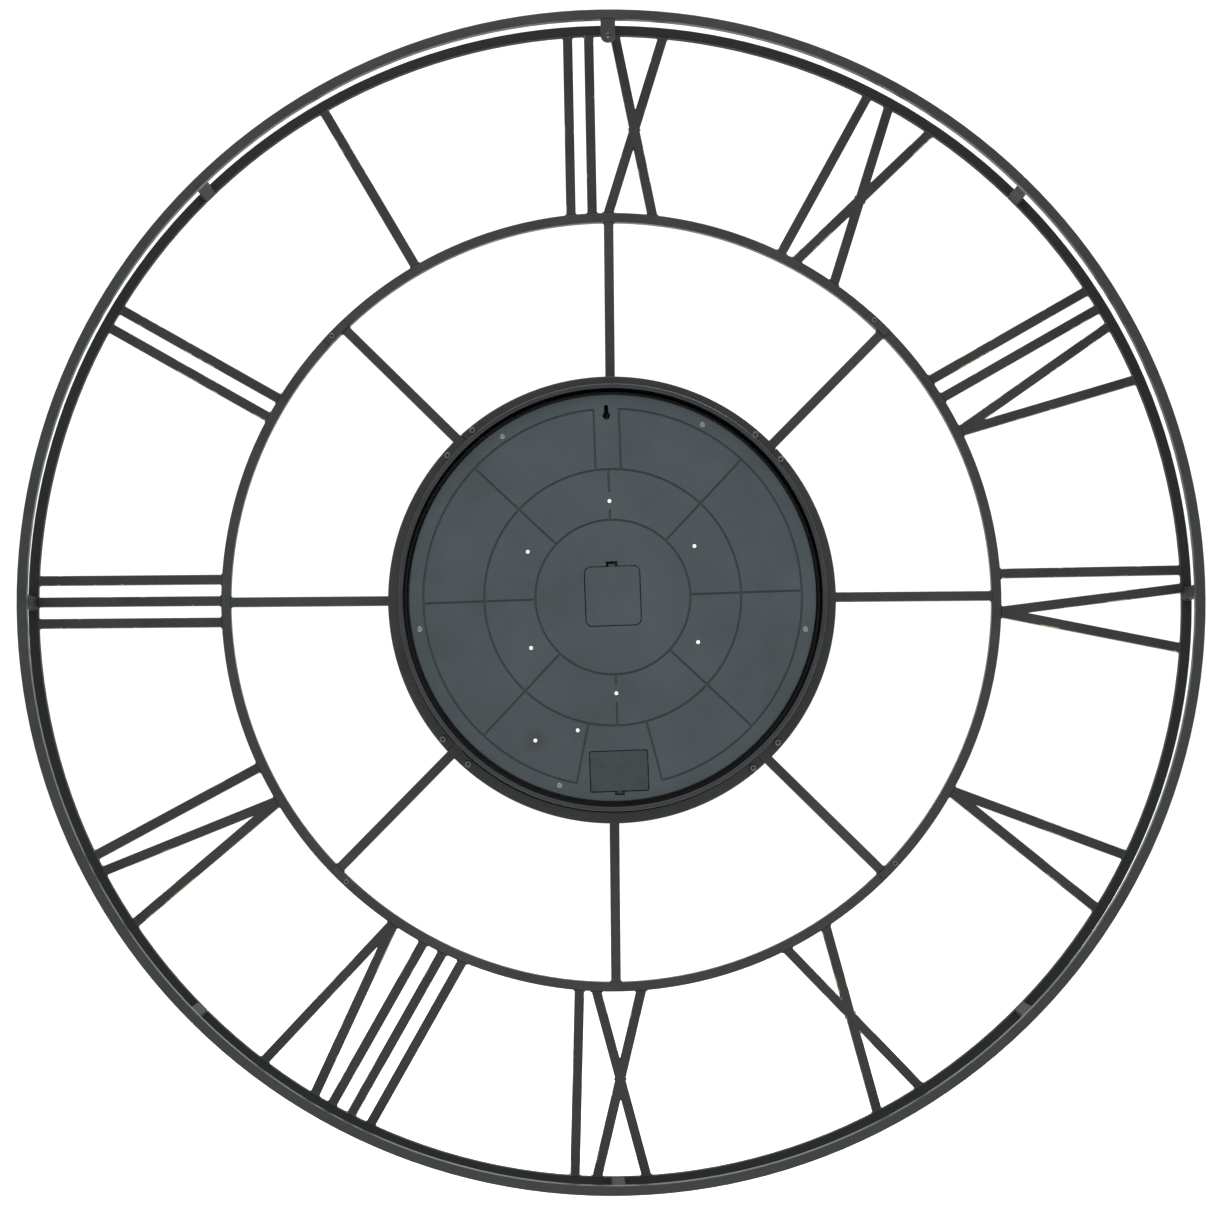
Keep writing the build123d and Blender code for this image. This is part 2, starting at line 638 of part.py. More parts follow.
# Front case: a floor ring and a wall, with lugs in front of the hub ring and bosses for the cover screws
cover_screw_points = [polar(COVER_SCREW_CIRCLE_R, angle) for angle in COVER_SCREW_ANGLES]
with BuildPart() as front_case:
    with BuildSketch(radial_plane(0)):
        with Locations((CASE_FLOOR_INNER_R, CASE_REAR)):
            Rectangle(CASE_R - CASE_FLOOR_INNER_R, CASE_FLOOR, align=Align.MIN)
        with Locations((CASE_INNER_R, CASE_REAR)):
            Rectangle(CASE_WALL, LENS_REAR - CASE_REAR, align=Align.MIN)
        with Locations((COVER_R + CASE_RIB_OUT, CASE_REAR)):
            Rectangle(CASE_RIB_WIDTH, CASE_RIB_HEIGHT, align=(Align.CENTER, Align.MAX))
    revolve(axis=FORWARD)
    with BuildSketch(WALL.offset(HUB_FRONT)):
        for start in QUARTERS.values():
            lug_start = start - angle_of(HUB_SCREW_BEHIND + LUG_MARGIN, HUB_MID_R)
            lug_end = start + angle_of(HUB_SCREW_AHEAD + LUG_MARGIN, HUB_MID_R)
            sector(CASE_R - CASE_WALL / 2, HUB_OUTER_R, lug_start, lug_end)
        with Locations(*hub_screw_points):
            Circle(HUB_SCREW_R, mode=Mode.SUBTRACT)
    extrude(amount=LUG_THICK)
    with BuildSketch(CLOCK.offset(COVER_INNER)):
        with Locations(*cover_screw_points):
            Circle(BOSS_R)
            Circle(COVER_SCREW_R, mode=Mode.SUBTRACT)
    extrude(amount=CASE_REAR - COVER_INNER)
save("front_case", front_case.part)

# Skirt: a ring with a rounded lip that stands on the case's floor, round the back cover
with BuildPart() as case_skirt:
    with BuildSketch(radial_plane(0)):
        with Locations((CASE_R, SKIRT_REAR)):
            Rectangle(SKIRT_WALL, CASE_REAR - SKIRT_REAR, align=(Align.MAX, Align.MIN))
            Rectangle(SKIRT_LIP, SKIRT_LIP_THICK, align=(Align.MAX, Align.MIN))
    revolve(axis=FORWARD)
    fillet(case_skirt.edges().group_by(Axis.Y)[-1], SKIRT_LIP_ROUND)
save("case_skirt", case_skirt.part)

# Back cover: a shallow pan with grooves, a keyhole and two openings
dot_points = [polar(DOT_CIRCLE_R, DOT_FIRST_ANGLE + 360 / DOT_COUNT * count) for count in range(DOT_COUNT)]
dot_points += LOOSE_DOTS
hanger_half_angle = angle_of(HANGER_PANEL_HALF, OUTER_GROOVE_R)


def door_hinge(door, up, hinge_up, inset):
    """Height of a door's hinge line on the clock's plane: inside its top edge or its bottom edge."""
    return up + hinge_up * (door[1] / 2 - inset)


movement_hinge = door_hinge(MOVEMENT_DOOR, MOVEMENT_DOOR_UP, -1, MOVEMENT_HINGE_INSET)
battery_hinge = door_hinge(BATTERY_DOOR, BATTERY_DOOR_UP, 1, BATTERY_HINGE_INSET)


def groove_ring(radius, start, end):
    """Groove along an arc, drawn in the open sketch."""
    sector(radius - GROOVE_WIDTH / 2, radius + GROOVE_WIDTH / 2, start, end)


def groove_ray(angle, start_r, end_r, across=0.0):
    """Groove along a radius or beside it, drawn in the open sketch."""
    with Locations(Location((*polar((start_r + end_r) / 2, angle, across), 0), (0, 0, angle))):
        Rectangle(end_r - start_r, GROOVE_WIDTH)


with BuildPart() as back_cover:
    with BuildSketch(CLOCK.offset(COVER_REAR)):
        Circle(COVER_R)
    extrude(amount=COVER_DEPTH)
    fillet(back_cover.edges().group_by(Axis.Y)[-1], COVER_EDGE)
    with BuildSketch(CLOCK.offset(COVER_INNER)):
        Circle(COVER_R - COVER_WALL)
    extrude(amount=COVER_DEPTH - COVER_PLATE, mode=Mode.SUBTRACT)

    # Grooves moulded in the rear face
    with BuildSketch(CLOCK.offset(COVER_REAR)):
        groove_ring(INNER_GROOVE_R, 0, 180)
        groove_ring(INNER_GROOVE_R, 180, 360)
        groove_ring(MIDDLE_GROOVE_R, 0, 180)
        groove_ring(MIDDLE_GROOVE_R, 180, 360)
        groove_ring(OUTER_GROOVE_R, 90 + hanger_half_angle, 270 - DOOR_PANEL_HALF_ANGLE)
        groove_ring(OUTER_GROOVE_R, 270 + DOOR_PANEL_HALF_ANGLE, 450 - hanger_half_angle)
        for angle in SPOKE_GROOVE_ANGLES:
            groove_ray(angle, INNER_GROOVE_R, OUTER_GROOVE_R)
        for angle in (90, 270):
            groove_ray(angle, INNER_GROOVE_R, DOT_CIRCLE_R - DOT_GROOVE_GAP)
            groove_ray(angle, DOT_CIRCLE_R + DOT_GROOVE_GAP, MIDDLE_GROOVE_R)
        for across in (-HANGER_PANEL_HALF, HANGER_PANEL_HALF):
            groove_ray(90, MIDDLE_GROOVE_R, OUTER_GROOVE_R, across)
        for angle in (270 - DOOR_PANEL_HALF_ANGLE, 270 + DOOR_PANEL_HALF_ANGLE):
            groove_ray(angle, MIDDLE_GROOVE_R, OUTER_GROOVE_R)
    extrude(amount=GROOVE_DEPTH, mode=Mode.SUBTRACT)

    # Keyhole, screw holes, plug holes, and the doors' openings with their finger notches
    with BuildSketch(CLOCK.offset(COVER_REAR)):
        with Locations((0, KEYHOLE_UP)):
            Circle(KEYHOLE_R)
            Rectangle(KEYHOLE_SLOT, KEYHOLE_RISE, align=(Align.CENTER, Align.MIN))
        with Locations((0, KEYHOLE_UP + KEYHOLE_RISE)):
            Circle(KEYHOLE_SLOT / 2)
        with Locations(*cover_screw_points):
            Circle(COVER_SCREW_R)
        with Locations(*dot_points):
            Circle(DOT_STEM_R)
        with Locations((0, MOVEMENT_DOOR_UP)):
            RectangleRounded(
                MOVEMENT_DOOR[0] + 2 * DOOR_GAP,
                MOVEMENT_DOOR[1] + 2 * DOOR_GAP,
                MOVEMENT_DOOR_CORNER + DOOR_GAP,
            )
        with Locations((0, MOVEMENT_DOOR_UP + MOVEMENT_DOOR[1] / 2)):
            Rectangle(MOVEMENT_NOTCH[0], MOVEMENT_NOTCH[1], align=(Align.CENTER, Align.MIN))
        with Locations((0, BATTERY_DOOR_UP)):
            RectangleRounded(
                BATTERY_DOOR[0] + 2 * DOOR_GAP,
                BATTERY_DOOR[1] + 2 * DOOR_GAP,
                BATTERY_DOOR_CORNER + DOOR_GAP,
            )
        with Locations((0, BATTERY_DOOR_UP - BATTERY_DOOR[1] / 2)):
            Rectangle(BATTERY_NOTCH[0], BATTERY_NOTCH[1], align=(Align.CENTER, Align.MAX))
    extrude(amount=COVER_PLATE, mode=Mode.SUBTRACT)

    # Sinks for the screw heads and the plug heads
    with BuildSketch(CLOCK.offset(COVER_REAR)):
        with Locations(*cover_screw_points):
            Circle(COVER_SCREW_HEAD_R)
    extrude(amount=COVER_SCREW_SINK, mode=Mode.SUBTRACT)
    with BuildSketch(CLOCK.offset(COVER_REAR)):
        with Locations(*dot_points):
            Circle(DOT_HEAD_R)
    extrude(amount=DOT_HEAD, mode=Mode.SUBTRACT)

    # Bearing holes for the doors' pins
    for door, hinge in ((MOVEMENT_DOOR, movement_hinge), (BATTERY_DOOR, battery_hinge)):
        hinge_line = CLOCK.offset(COVER_REAR + HINGE_SINK)
        across = Plane(
            origin=hinge_line.from_local_coords(Vector(0, hinge)),
            x_dir=hinge_line.z_dir,
            z_dir=hinge_line.x_dir,
        )
        with BuildSketch(across):
            Circle(HINGE_PIN_R + HINGE_PIN_PLAY)
        extrude(
            amount=door[0] / 2 + DOOR_GAP + HINGE_PIN_REACH + HINGE_PIN_PLAY,
            both=True,
            mode=Mode.SUBTRACT,
        )
save("back_cover", back_cover.part)


def make_door(door, up, corner, hinge, notch):
    """Door plate with two hinge pins, and a tongue opposite them that reaches into the finger notch."""
    layer = CLOCK.offset(COVER_REAR)
    pin_centre = layer.offset(HINGE_SINK).from_local_coords(Vector(0, hinge))
    free_edge = up - math.copysign(door[1] / 2, hinge - up)
    with BuildPart() as leaf:
        with BuildSketch(layer):
            with Locations((0, up)):
                RectangleRounded(door[0], door[1], corner)
        extrude(amount=COVER_PLATE)
        chamfer(leaf.faces().sort_by(Axis.Y)[-1].edges(), DOOR_EDGE)
        with BuildSketch(layer.offset(COVER_PLATE / 2)):
            with Locations((0, free_edge)):
                Rectangle(notch[0] * TONGUE_SHARE, notch[1], align=Align.CENTER)
        extrude(amount=COVER_PLATE / 2)
        for way in (1, -1):
            pin_root = pin_centre + layer.x_dir * way * (door[0] / 2 - HINGE_PIN_ROOT)
            with BuildSketch(Plane(origin=pin_root, x_dir=layer.z_dir, z_dir=layer.x_dir * way)):
                Circle(HINGE_PIN_R)
            extrude(amount=HINGE_PIN_ROOT + DOOR_GAP + HINGE_PIN_REACH)
    return leaf.part


save(
    "movement_cover",
    make_door(MOVEMENT_DOOR, MOVEMENT_DOOR_UP, MOVEMENT_DOOR_CORNER, movement_hinge, MOVEMENT_NOTCH),
)
save(
    "battery_door",
    make_door(BATTERY_DOOR, BATTERY_DOOR_UP, BATTERY_DOOR_CORNER, battery_hinge, BATTERY_NOTCH),
)

# Cover screws, with a cross slot in each head
screw_seat = COVER_REAR + COVER_SCREW_SINK
with BuildPart() as cover_screws:
    with BuildSketch(CLOCK.offset(screw_seat)):
        with Locations(*cover_screw_points):
            Circle(COVER_SCREW_HEAD_R)
    extrude(amount=-COVER_SCREW_HEAD)
    fillet(cover_screws.edges().filter_by(GeomType.CIRCLE).group_by(Axis.Y)[-1], SCREW_EDGE)
    with BuildSketch(CLOCK.offset(screw_seat - COVER_SCREW_HEAD)):
        with Locations(*cover_screw_points):
            Rectangle(COVER_SCREW_HEAD_R, COVER_SCREW_HEAD_R / 4)
            Rectangle(COVER_SCREW_HEAD_R / 4, COVER_SCREW_HEAD_R)
    extrude(amount=COVER_SCREW_HEAD / 2, mode=Mode.SUBTRACT)
    with BuildSketch(CLOCK.offset(screw_seat)):
        with Locations(*cover_screw_points):
            Circle(COVER_SCREW_R)
    extrude(amount=COVER_SCREW_LENGTH)
save("cover_screws", cover_screws.part)

# White plugs in the small holes of the back cover
with BuildPart() as cover_plugs:
    with BuildSketch(CLOCK.offset(COVER_REAR)):
        with Locations(*dot_points):
            Circle(DOT_HEAD_R)
    extrude(amount=DOT_HEAD)
    with BuildSketch(CLOCK.offset(COVER_REAR + DOT_HEAD)):
        with Locations(*dot_points):
            Circle(DOT_STEM_R)
    extrude(amount=DOT_STEM)
save("cover_plugs", cover_plugs.part)

# Dial, lens and bezel
with BuildPart() as dial:
    with BuildSketch(CLOCK.offset(DIAL_REAR)):
        Circle(CASE_INNER_R - DIAL_EDGE_PLAY)
        Circle(BUSH_R + BUSH_HOLE_PLAY, mode=Mode.SUBTRACT)
    extrude(amount=DIAL_THICK)
save("dial", dial.part)

with BuildPart() as lens:
    with BuildSketch(CLOCK.offset(LENS_REAR)):
        Circle(CASE_R - LENS_EDGE_PLAY)
    extrude(amount=LENS_THICK)
save("lens", lens.part)

with BuildPart() as bezel:
    with BuildSketch(radial_plane(0)):
        with BuildLine():
            Polyline(
                (CASE_R, BEZEL_REAR),
                (BEZEL_OUTER_R, BEZEL_REAR),
                (BEZEL_OUTER_R, BEZEL_FRONT - BEZEL_BEVEL),
                (BEZEL_OUTER_R - BEZEL_BEVEL, BEZEL_FRONT),
                (BEZEL_LIP_R + BEZEL_BEVEL, BEZEL_FRONT),
                (BEZEL_LIP_R, BEZEL_FRONT - BEZEL_BEVEL),
                (BEZEL_LIP_R, LENS_FRONT),
                (CASE_R, LENS_FRONT),
                close=True,
            )
        make_face()
    revolve(axis=FORWARD)
save("bezel", bezel.part)


def involute(angle):
    """Involute function of a pressure angle, in radians."""
    return math.tan(angle) - angle


def gear(teeth, pitch_r, addendum, dedendum):
    """Spur gear's outline with involute flanks and radial roots, drawn in the open sketch."""
    module = 2 * pitch_r / teeth
    base_r = pitch_r * math.cos(PRESSURE_ANGLE)
    tip_r = pitch_r + addendum * module
    root_r = pitch_r - dedendum * module
    flank_r = max(base_r, root_r)
    half_tooth = (math.pi * module / 2 - BACKLASH) / (2 * pitch_r)

    def flank_angle(radius):
        roll = math.acos(min(1.0, base_r / radius))
        return math.degrees(half_tooth + involute(PRESSURE_ANGLE) - involute(roll))

    radii = (flank_r, (flank_r + tip_r) / 2, tip_r)
    with BuildLine() as outline:
        for count in range(teeth):
            middle = count * 360 / teeth
            rising = [polar(radius, middle - flank_angle(radius)) for radius in radii]
            falling = [polar(radius, middle + flank_angle(radius)) for radius in reversed(radii)]
            root_before = polar(root_r, middle - flank_angle(flank_r))
            root_after = polar(root_r, middle + flank_angle(flank_r))
            next_root = polar(root_r, middle + 360 / teeth - flank_angle(flank_r))
            if flank_r > root_r:
                Line(root_before, rising[0])
                Line(falling[-1], root_after)
            ThreePointArc(*rising)
            Line(rising[-1], falling[0])
            ThreePointArc(*falling)
            Line(root_after, next_root)
    make_face(outline.edges())


# Pitch radii share the distance between two gears by their teeth
minute_pair_teeth = PINION_TEETH + MINUTE_WHEEL_TEETH
hour_pair_teeth = MINUTE_PINION_TEETH + HOUR_WHEEL_TEETH
pinion_pitch_r = GEAR_DISTANCE * PINION_TEETH / minute_pair_teeth
minute_wheel_pitch_r = GEAR_DISTANCE - pinion_pitch_r
minute_pinion_pitch_r = GEAR_DISTANCE * MINUTE_PINION_TEETH / hour_pair_teeth
hour_wheel_pitch_r = GEAR_DISTANCE - minute_pinion_pitch_r
wheel_point = (0.0, -GEAR_DISTANCE)
setting_step = polar(GEAR_DISTANCE, SETTING_ANGLE)
setting_point = (wheel_point[0] + setting_step[0], wheel_point[1] + setting_step[1])
half_tooth_turn = 180 / MINUTE_WHEEL_TEETH

# Movement case, open to the front, with bearings in its floor
with BuildPart() as movement_case:
    with BuildSketch(CLOCK.offset(MOVEMENT_REAR)):
        RectangleRounded(MOVEMENT_SIZE, MOVEMENT_SIZE, MOVEMENT_CORNER)
    extrude(amount=PLATE_REAR - MOVEMENT_REAR)
    with BuildSketch(CLOCK.offset(MOVEMENT_FLOOR)):
        inner_size = MOVEMENT_SIZE - 2 * MOVEMENT_WALL
        RectangleRounded(inner_size, inner_size, MOVEMENT_CORNER - MOVEMENT_WALL)
    extrude(amount=PLATE_REAR - MOVEMENT_FLOOR, mode=Mode.SUBTRACT)
    with BuildSketch(CLOCK.offset(MOVEMENT_FLOOR)):
        with Locations((0, 0), wheel_point):
            Circle(PIVOT_R + PIVOT_PLAY)
    extrude(amount=-PIVOT_DEPTH, mode=Mode.SUBTRACT)
    with BuildSketch(CLOCK.offset(MOVEMENT_REAR)):
        with Locations(setting_point):
            Circle(KNOB_SHAFT_R + PIVOT_PLAY)
    extrude(amount=MOVEMENT_WALL, mode=Mode.SUBTRACT)
save("movement_case", movement_case.part)

# Movement plate with the threaded bush that the hands' shafts come out of
with BuildPart() as movement_plate:
    with BuildSketch(CLOCK.offset(PLATE_REAR)):
        RectangleRounded(MOVEMENT_SIZE, MOVEMENT_SIZE, MOVEMENT_CORNER)
    extrude(amount=MOVEMENT_PLATE)
    with BuildSketch(CLOCK.offset(DIAL_REAR)):
        Circle(BUSH_R)
    extrude(amount=BUSH_LENGTH)
    with BuildSketch(CLOCK.offset(PLATE_REAR)):
        Circle(PIPE_R + TURN_PLAY)
    extrude(amount=MOVEMENT_PLATE + BUSH_LENGTH, mode=Mode.SUBTRACT)
    with BuildSketch(CLOCK.offset(PLATE_REAR)):
        with Locations(wheel_point, setting_point):
            Circle(PIVOT_R + PIVOT_PLAY)
    extrude(amount=PIVOT_DEPTH, mode=Mode.SUBTRACT)
save("movement_plate", movement_plate.part)

# Nut that clamps the dial to the movement
with BuildPart() as bush_nut:
    with BuildSketch(CLOCK.offset(DIAL_FRONT)):
        RegularPolygon(NUT_FLATS / 2, 6, major_radius=False)
        Circle(BUSH_R, mode=Mode.SUBTRACT)
    extrude(amount=NUT_THICK)
save("bush_nut", bush_nut.part)

# Minute arbor: a pinion on a shaft that runs out through the hour wheel's pipe
with BuildPart() as minute_arbor:
    with BuildSketch(CLOCK.offset(MOVEMENT_FLOOR + END_SHAKE)):
        Circle(ARBOR_R)
    extrude(amount=MINUTE_HAND_FRONT + ARBOR_TIP - MOVEMENT_FLOOR - END_SHAKE)
    with BuildSketch(CLOCK.offset(MOVEMENT_FLOOR + END_SHAKE)):
        Circle(PIVOT_R)
    extrude(amount=-PIVOT_DEPTH)
    with BuildSketch(CLOCK.offset(MINUTE_GEAR_REAR)):
        gear(PINION_TEETH, pinion_pitch_r, PINION_ADDENDUM, PINION_DEDENDUM)
    extrude(amount=GEAR_THICK)
save("minute_arbor", minute_arbor.part)

# Hour wheel with the pipe that carries the hour hand
with BuildPart() as hour_wheel:
    with BuildSketch(CLOCK.offset(HOUR_GEAR_REAR)):
        gear(HOUR_WHEEL_TEETH, hour_wheel_pitch_r, WHEEL_ADDENDUM, WHEEL_DEDENDUM)
    extrude(amount=GEAR_THICK)
    with BuildSketch(CLOCK.offset(HOUR_GEAR_REAR)):
        Circle(PIPE_R)
    extrude(amount=HOUR_HAND_FRONT - HOUR_GEAR_REAR)
    with BuildSketch(CLOCK.offset(HOUR_GEAR_REAR)):
        Circle(ARBOR_R + TURN_PLAY)
    extrude(amount=HOUR_HAND_FRONT - HOUR_GEAR_REAR, mode=Mode.SUBTRACT)
save("hour_wheel", hour_wheel.part)

# Minute wheel and its pinion on one arbor, turned half a tooth to mesh at rest
wheel_plane = Plane(
    origin=CLOCK.from_local_coords(Vector(*wheel_point)),
    x_dir=CLOCK.x_dir,
    z_dir=CLOCK.z_dir,
)
with BuildPart() as minute_wheel:
    with BuildSketch(turned(wheel_plane.offset(MINUTE_GEAR_REAR), half_tooth_turn)):
        gear(MINUTE_WHEEL_TEETH, minute_wheel_pitch_r, WHEEL_ADDENDUM, WHEEL_DEDENDUM)
    extrude(amount=GEAR_THICK)
    with BuildSketch(wheel_plane.offset(HOUR_GEAR_REAR)):
        gear(MINUTE_PINION_TEETH, minute_pinion_pitch_r, PINION_ADDENDUM, PINION_DEDENDUM)
    extrude(amount=GEAR_THICK)
    with BuildSketch(wheel_plane.offset(MOVEMENT_FLOOR + END_SHAKE)):
        Circle(WHEEL_ARBOR_R)
    extrude(amount=PLATE_REAR - MOVEMENT_FLOOR - 2 * END_SHAKE)
    with BuildSketch(wheel_plane.offset(MOVEMENT_FLOOR + END_SHAKE - PIVOT_DEPTH)):
        Circle(PIVOT_R)
    extrude(amount=PLATE_REAR - MOVEMENT_FLOOR - 2 * END_SHAKE + 2 * PIVOT_DEPTH)
save("minute_wheel", minute_wheel.part)

# Setting knob behind the movement, with a shaft and a pinion
setting_plane = Plane(
    origin=CLOCK.from_local_coords(Vector(*setting_point)),
    x_dir=CLOCK.x_dir,
    z_dir=CLOCK.z_dir,
)
with BuildPart() as setting_knob:
    with BuildSketch(setting_plane.offset(MOVEMENT_REAR - KNOB_STAND - KNOB_THICK)):
        Circle(KNOB_R)
        with PolarLocations(KNOB_R, KNOB_GRIPS):
            Circle(KNOB_GRIP_R, mode=Mode.SUBTRACT)
    extrude(amount=KNOB_THICK)
    with BuildSketch(setting_plane.offset(MOVEMENT_REAR - KNOB_STAND)):
        Circle(KNOB_SHAFT_R)
    extrude(amount=KNOB_STAND + MINUTE_GEAR_AHEAD)
    with BuildSketch(setting_plane.offset(MINUTE_GEAR_REAR)):
        gear(PINION_TEETH, pinion_pitch_r, PINION_ADDENDUM, PINION_DEDENDUM)
    extrude(amount=GEAR_THICK)
    with BuildSketch(setting_plane.offset(MINUTE_GEAR_REAR + GEAR_THICK)):
        Circle(PIVOT_R)
    extrude(amount=PLATE_REAR - MINUTE_GEAR_REAR - GEAR_THICK + PIVOT_DEPTH - END_SHAKE)
save("setting_knob", setting_knob.part)


def make_hand(rear, turn, length, tail, width, hole_r):
    """Flat hand: widest at its boss, drawn in to a narrow tip and to a short tail."""
    with BuildPart() as hand:
        with BuildSketch(turned(CLOCK.offset(rear), turn)):
            with BuildLine():
                Polyline(
                    (-HAND_TIP_WIDTH / 2, length),
                    (HAND_TIP_WIDTH / 2, length),
                    (width / 2, 0),
                    (width / 3, -tail),
                    (-width / 3, -tail),
                    (-width / 2, 0),
                    close=True,
                )
            make_face()
            Circle(HAND_BOSS_R)
            Circle(hole_r, mode=Mode.SUBTRACT)
        extrude(amount=HAND_THICK)
    return hand.part


save(
    "hour_hand",
    make_hand(HOUR_HAND_REAR, HOUR_HAND_TURN, HOUR_HAND_LENGTH, HOUR_HAND_TAIL, HOUR_HAND_WIDTH, PIPE_R),
)
save(
    "minute_hand",
    make_hand(
        MINUTE_HAND_REAR, MINUTE_HAND_TURN, MINUTE_HAND_LENGTH, MINUTE_HAND_TAIL, MINUTE_HAND_WIDTH, ARBOR_R
    ),
)

# Cap nut on the minute arbor's end
with BuildPart() as hand_cap:
    with BuildSketch(CLOCK.offset(MINUTE_HAND_FRONT)):
        Circle(CAP_R)
    extrude(amount=CAP_THICK)
    fillet(hand_cap.edges().group_by(Axis.Y)[0], SCREW_EDGE)
    with BuildSketch(CLOCK.offset(MINUTE_HAND_FRONT)):
        Circle(ARBOR_R)
    extrude(amount=ARBOR_TIP, mode=Mode.SUBTRACT)
save("hand_cap", hand_cap.part)

# Battery tray, fixed inside the back cover round the battery door's opening
tray_plane = Plane(
    origin=CLOCK.from_local_coords(Vector(0, BATTERY_DOOR_UP)),
    x_dir=CLOCK.x_dir,
    z_dir=CLOCK.z_dir,
)
with BuildPart() as battery_tray:
    with BuildSketch(tray_plane.offset(COVER_INNER)):
        Rectangle(TRAY_LENGTH + 2 * TRAY_WALL, TRAY_HEIGHT + 2 * TRAY_WALL)
    extrude(amount=TRAY_DEPTH + TRAY_FLOOR)
    with BuildSketch(tray_plane.offset(COVER_INNER)):
        Rectangle(TRAY_LENGTH, TRAY_HEIGHT)
    extrude(amount=TRAY_DEPTH, mode=Mode.SUBTRACT)
save("battery_tray", battery_tray.part)

# Two cells side by side, pointing opposite ways, on the tray's floor
cell_layer = tray_plane.offset(TRAY_FLOOR_REAR - CELL_R)
cells = []
contacts = []
for way in (1, -1):
    middle = cell_layer.from_local_coords(Vector(0, way * CELL_PITCH / 2))
    along = cell_layer.x_dir * way
    tail_plane = Plane(origin=middle - along * CELL_LENGTH / 2, x_dir=cell_layer.z_dir, z_dir=along)
    with BuildPart() as cell:
        with BuildSketch(tail_plane):
            Circle(CELL_R)
        extrude(amount=CELL_LENGTH - CELL_NUB)
        with BuildSketch(tail_plane.offset(CELL_LENGTH - CELL_NUB)):
            Circle(CELL_NUB_R)
        extrude(amount=CELL_NUB)
    cells.append(cell.part)

    # A contact at each end: a plate on the tray's wall and a cone that presses on the cell
    for end in (1, -1):
        wall_plane = Plane(
            origin=middle + along * end * TRAY_LENGTH / 2,
            x_dir=cell_layer.z_dir,
            z_dir=along * -end,
        )
        with BuildPart() as contact:
            with BuildSketch(wall_plane):
                Rectangle(CONTACT_SIZE, CONTACT_SIZE)
            extrude(amount=CONTACT_THICK)
            with BuildSketch(wall_plane.offset(CONTACT_THICK)):
                Circle(CONTACT_BASE_R)
            with BuildSketch(wall_plane.offset(CONTACT_THICK + CONTACT_REACH)):
                Circle(CONTACT_TIP_R)
            loft()
        contacts.append(contact.part)
save("battery_cells", *cells)
save("battery_contacts", *contacts)

# Leads from the tray's upper wall to the movement's lower wall
lead_start = BATTERY_DOOR_UP + TRAY_HEIGHT / 2 + TRAY_WALL
lead_end = -MOVEMENT_SIZE / 2
lead_depth = (MOVEMENT_REAR + TRAY_FLOOR_REAR + TRAY_FLOOR) / 2
with BuildPart() as battery_leads:
    lead_origin = CLOCK.offset(lead_depth).from_local_coords(Vector(0, lead_start))
    with BuildSketch(Plane(origin=lead_origin, x_dir=CLOCK.x_dir, z_dir=CLOCK.y_dir)):
        with GridLocations(LEAD_SPACING, 0, 2, 1):
            Circle(LEAD_R)
    extrude(amount=lead_end - lead_start)
save("battery_leads", battery_leads.part)
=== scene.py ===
"""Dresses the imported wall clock: finishes, weld beads, dial print, floor, light and camera."""

import json
import math

import bpy
import numpy as np
from mathutils import Matrix, Vector


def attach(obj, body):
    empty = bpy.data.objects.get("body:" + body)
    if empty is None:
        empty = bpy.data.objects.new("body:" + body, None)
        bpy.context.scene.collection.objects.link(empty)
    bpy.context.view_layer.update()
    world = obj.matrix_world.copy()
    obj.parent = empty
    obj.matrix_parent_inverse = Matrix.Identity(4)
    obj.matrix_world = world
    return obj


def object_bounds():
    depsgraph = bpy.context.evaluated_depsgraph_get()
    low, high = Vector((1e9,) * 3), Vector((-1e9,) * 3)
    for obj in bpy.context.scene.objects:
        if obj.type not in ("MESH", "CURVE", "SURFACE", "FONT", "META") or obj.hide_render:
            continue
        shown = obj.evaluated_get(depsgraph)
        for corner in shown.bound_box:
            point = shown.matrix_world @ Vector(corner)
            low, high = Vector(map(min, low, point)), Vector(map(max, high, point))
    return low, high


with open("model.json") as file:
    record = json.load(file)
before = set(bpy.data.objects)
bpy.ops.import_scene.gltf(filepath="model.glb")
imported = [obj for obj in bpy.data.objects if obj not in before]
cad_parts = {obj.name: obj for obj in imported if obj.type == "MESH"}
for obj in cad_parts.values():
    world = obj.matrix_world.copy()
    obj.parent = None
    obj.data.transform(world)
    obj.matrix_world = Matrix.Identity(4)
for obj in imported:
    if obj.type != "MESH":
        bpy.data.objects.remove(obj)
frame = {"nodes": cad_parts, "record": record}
cad_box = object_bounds()

# Millimetres in a metre: sizes below are in mm, and meshes and materials take metres
METRE = 1000.0

# Sizes of the frame, in mm, the same as in the part's source. Depths are measured forward from the wall
HANG_DROP = 573.0
RIM_OUTER_R = 600.0
RIM_TUBE = 10.0
RIM_INNER_R = RIM_OUTER_R - RIM_TUBE
MIDDLE_OUTER_R = 402.5
MIDDLE_TUBE = 10.0
MIDDLE_INNER_R = MIDDLE_OUTER_R - MIDDLE_TUBE
HUB_OUTER_R = 231.0
BAR_TUBE = 10.0
BAR_REAR = 61.0
BAR_FRONT = BAR_REAR + BAR_TUBE
FRONT_RIM_REAR = BAR_REAR
POST_WIDTH = 12.0
JOINT_SIDE = 0.3
FOOT_WIDTH = 11.0
JOINT_ANGLES = (-45.0, 45.0, 135.0, 225.0)
QUARTER = 90.0

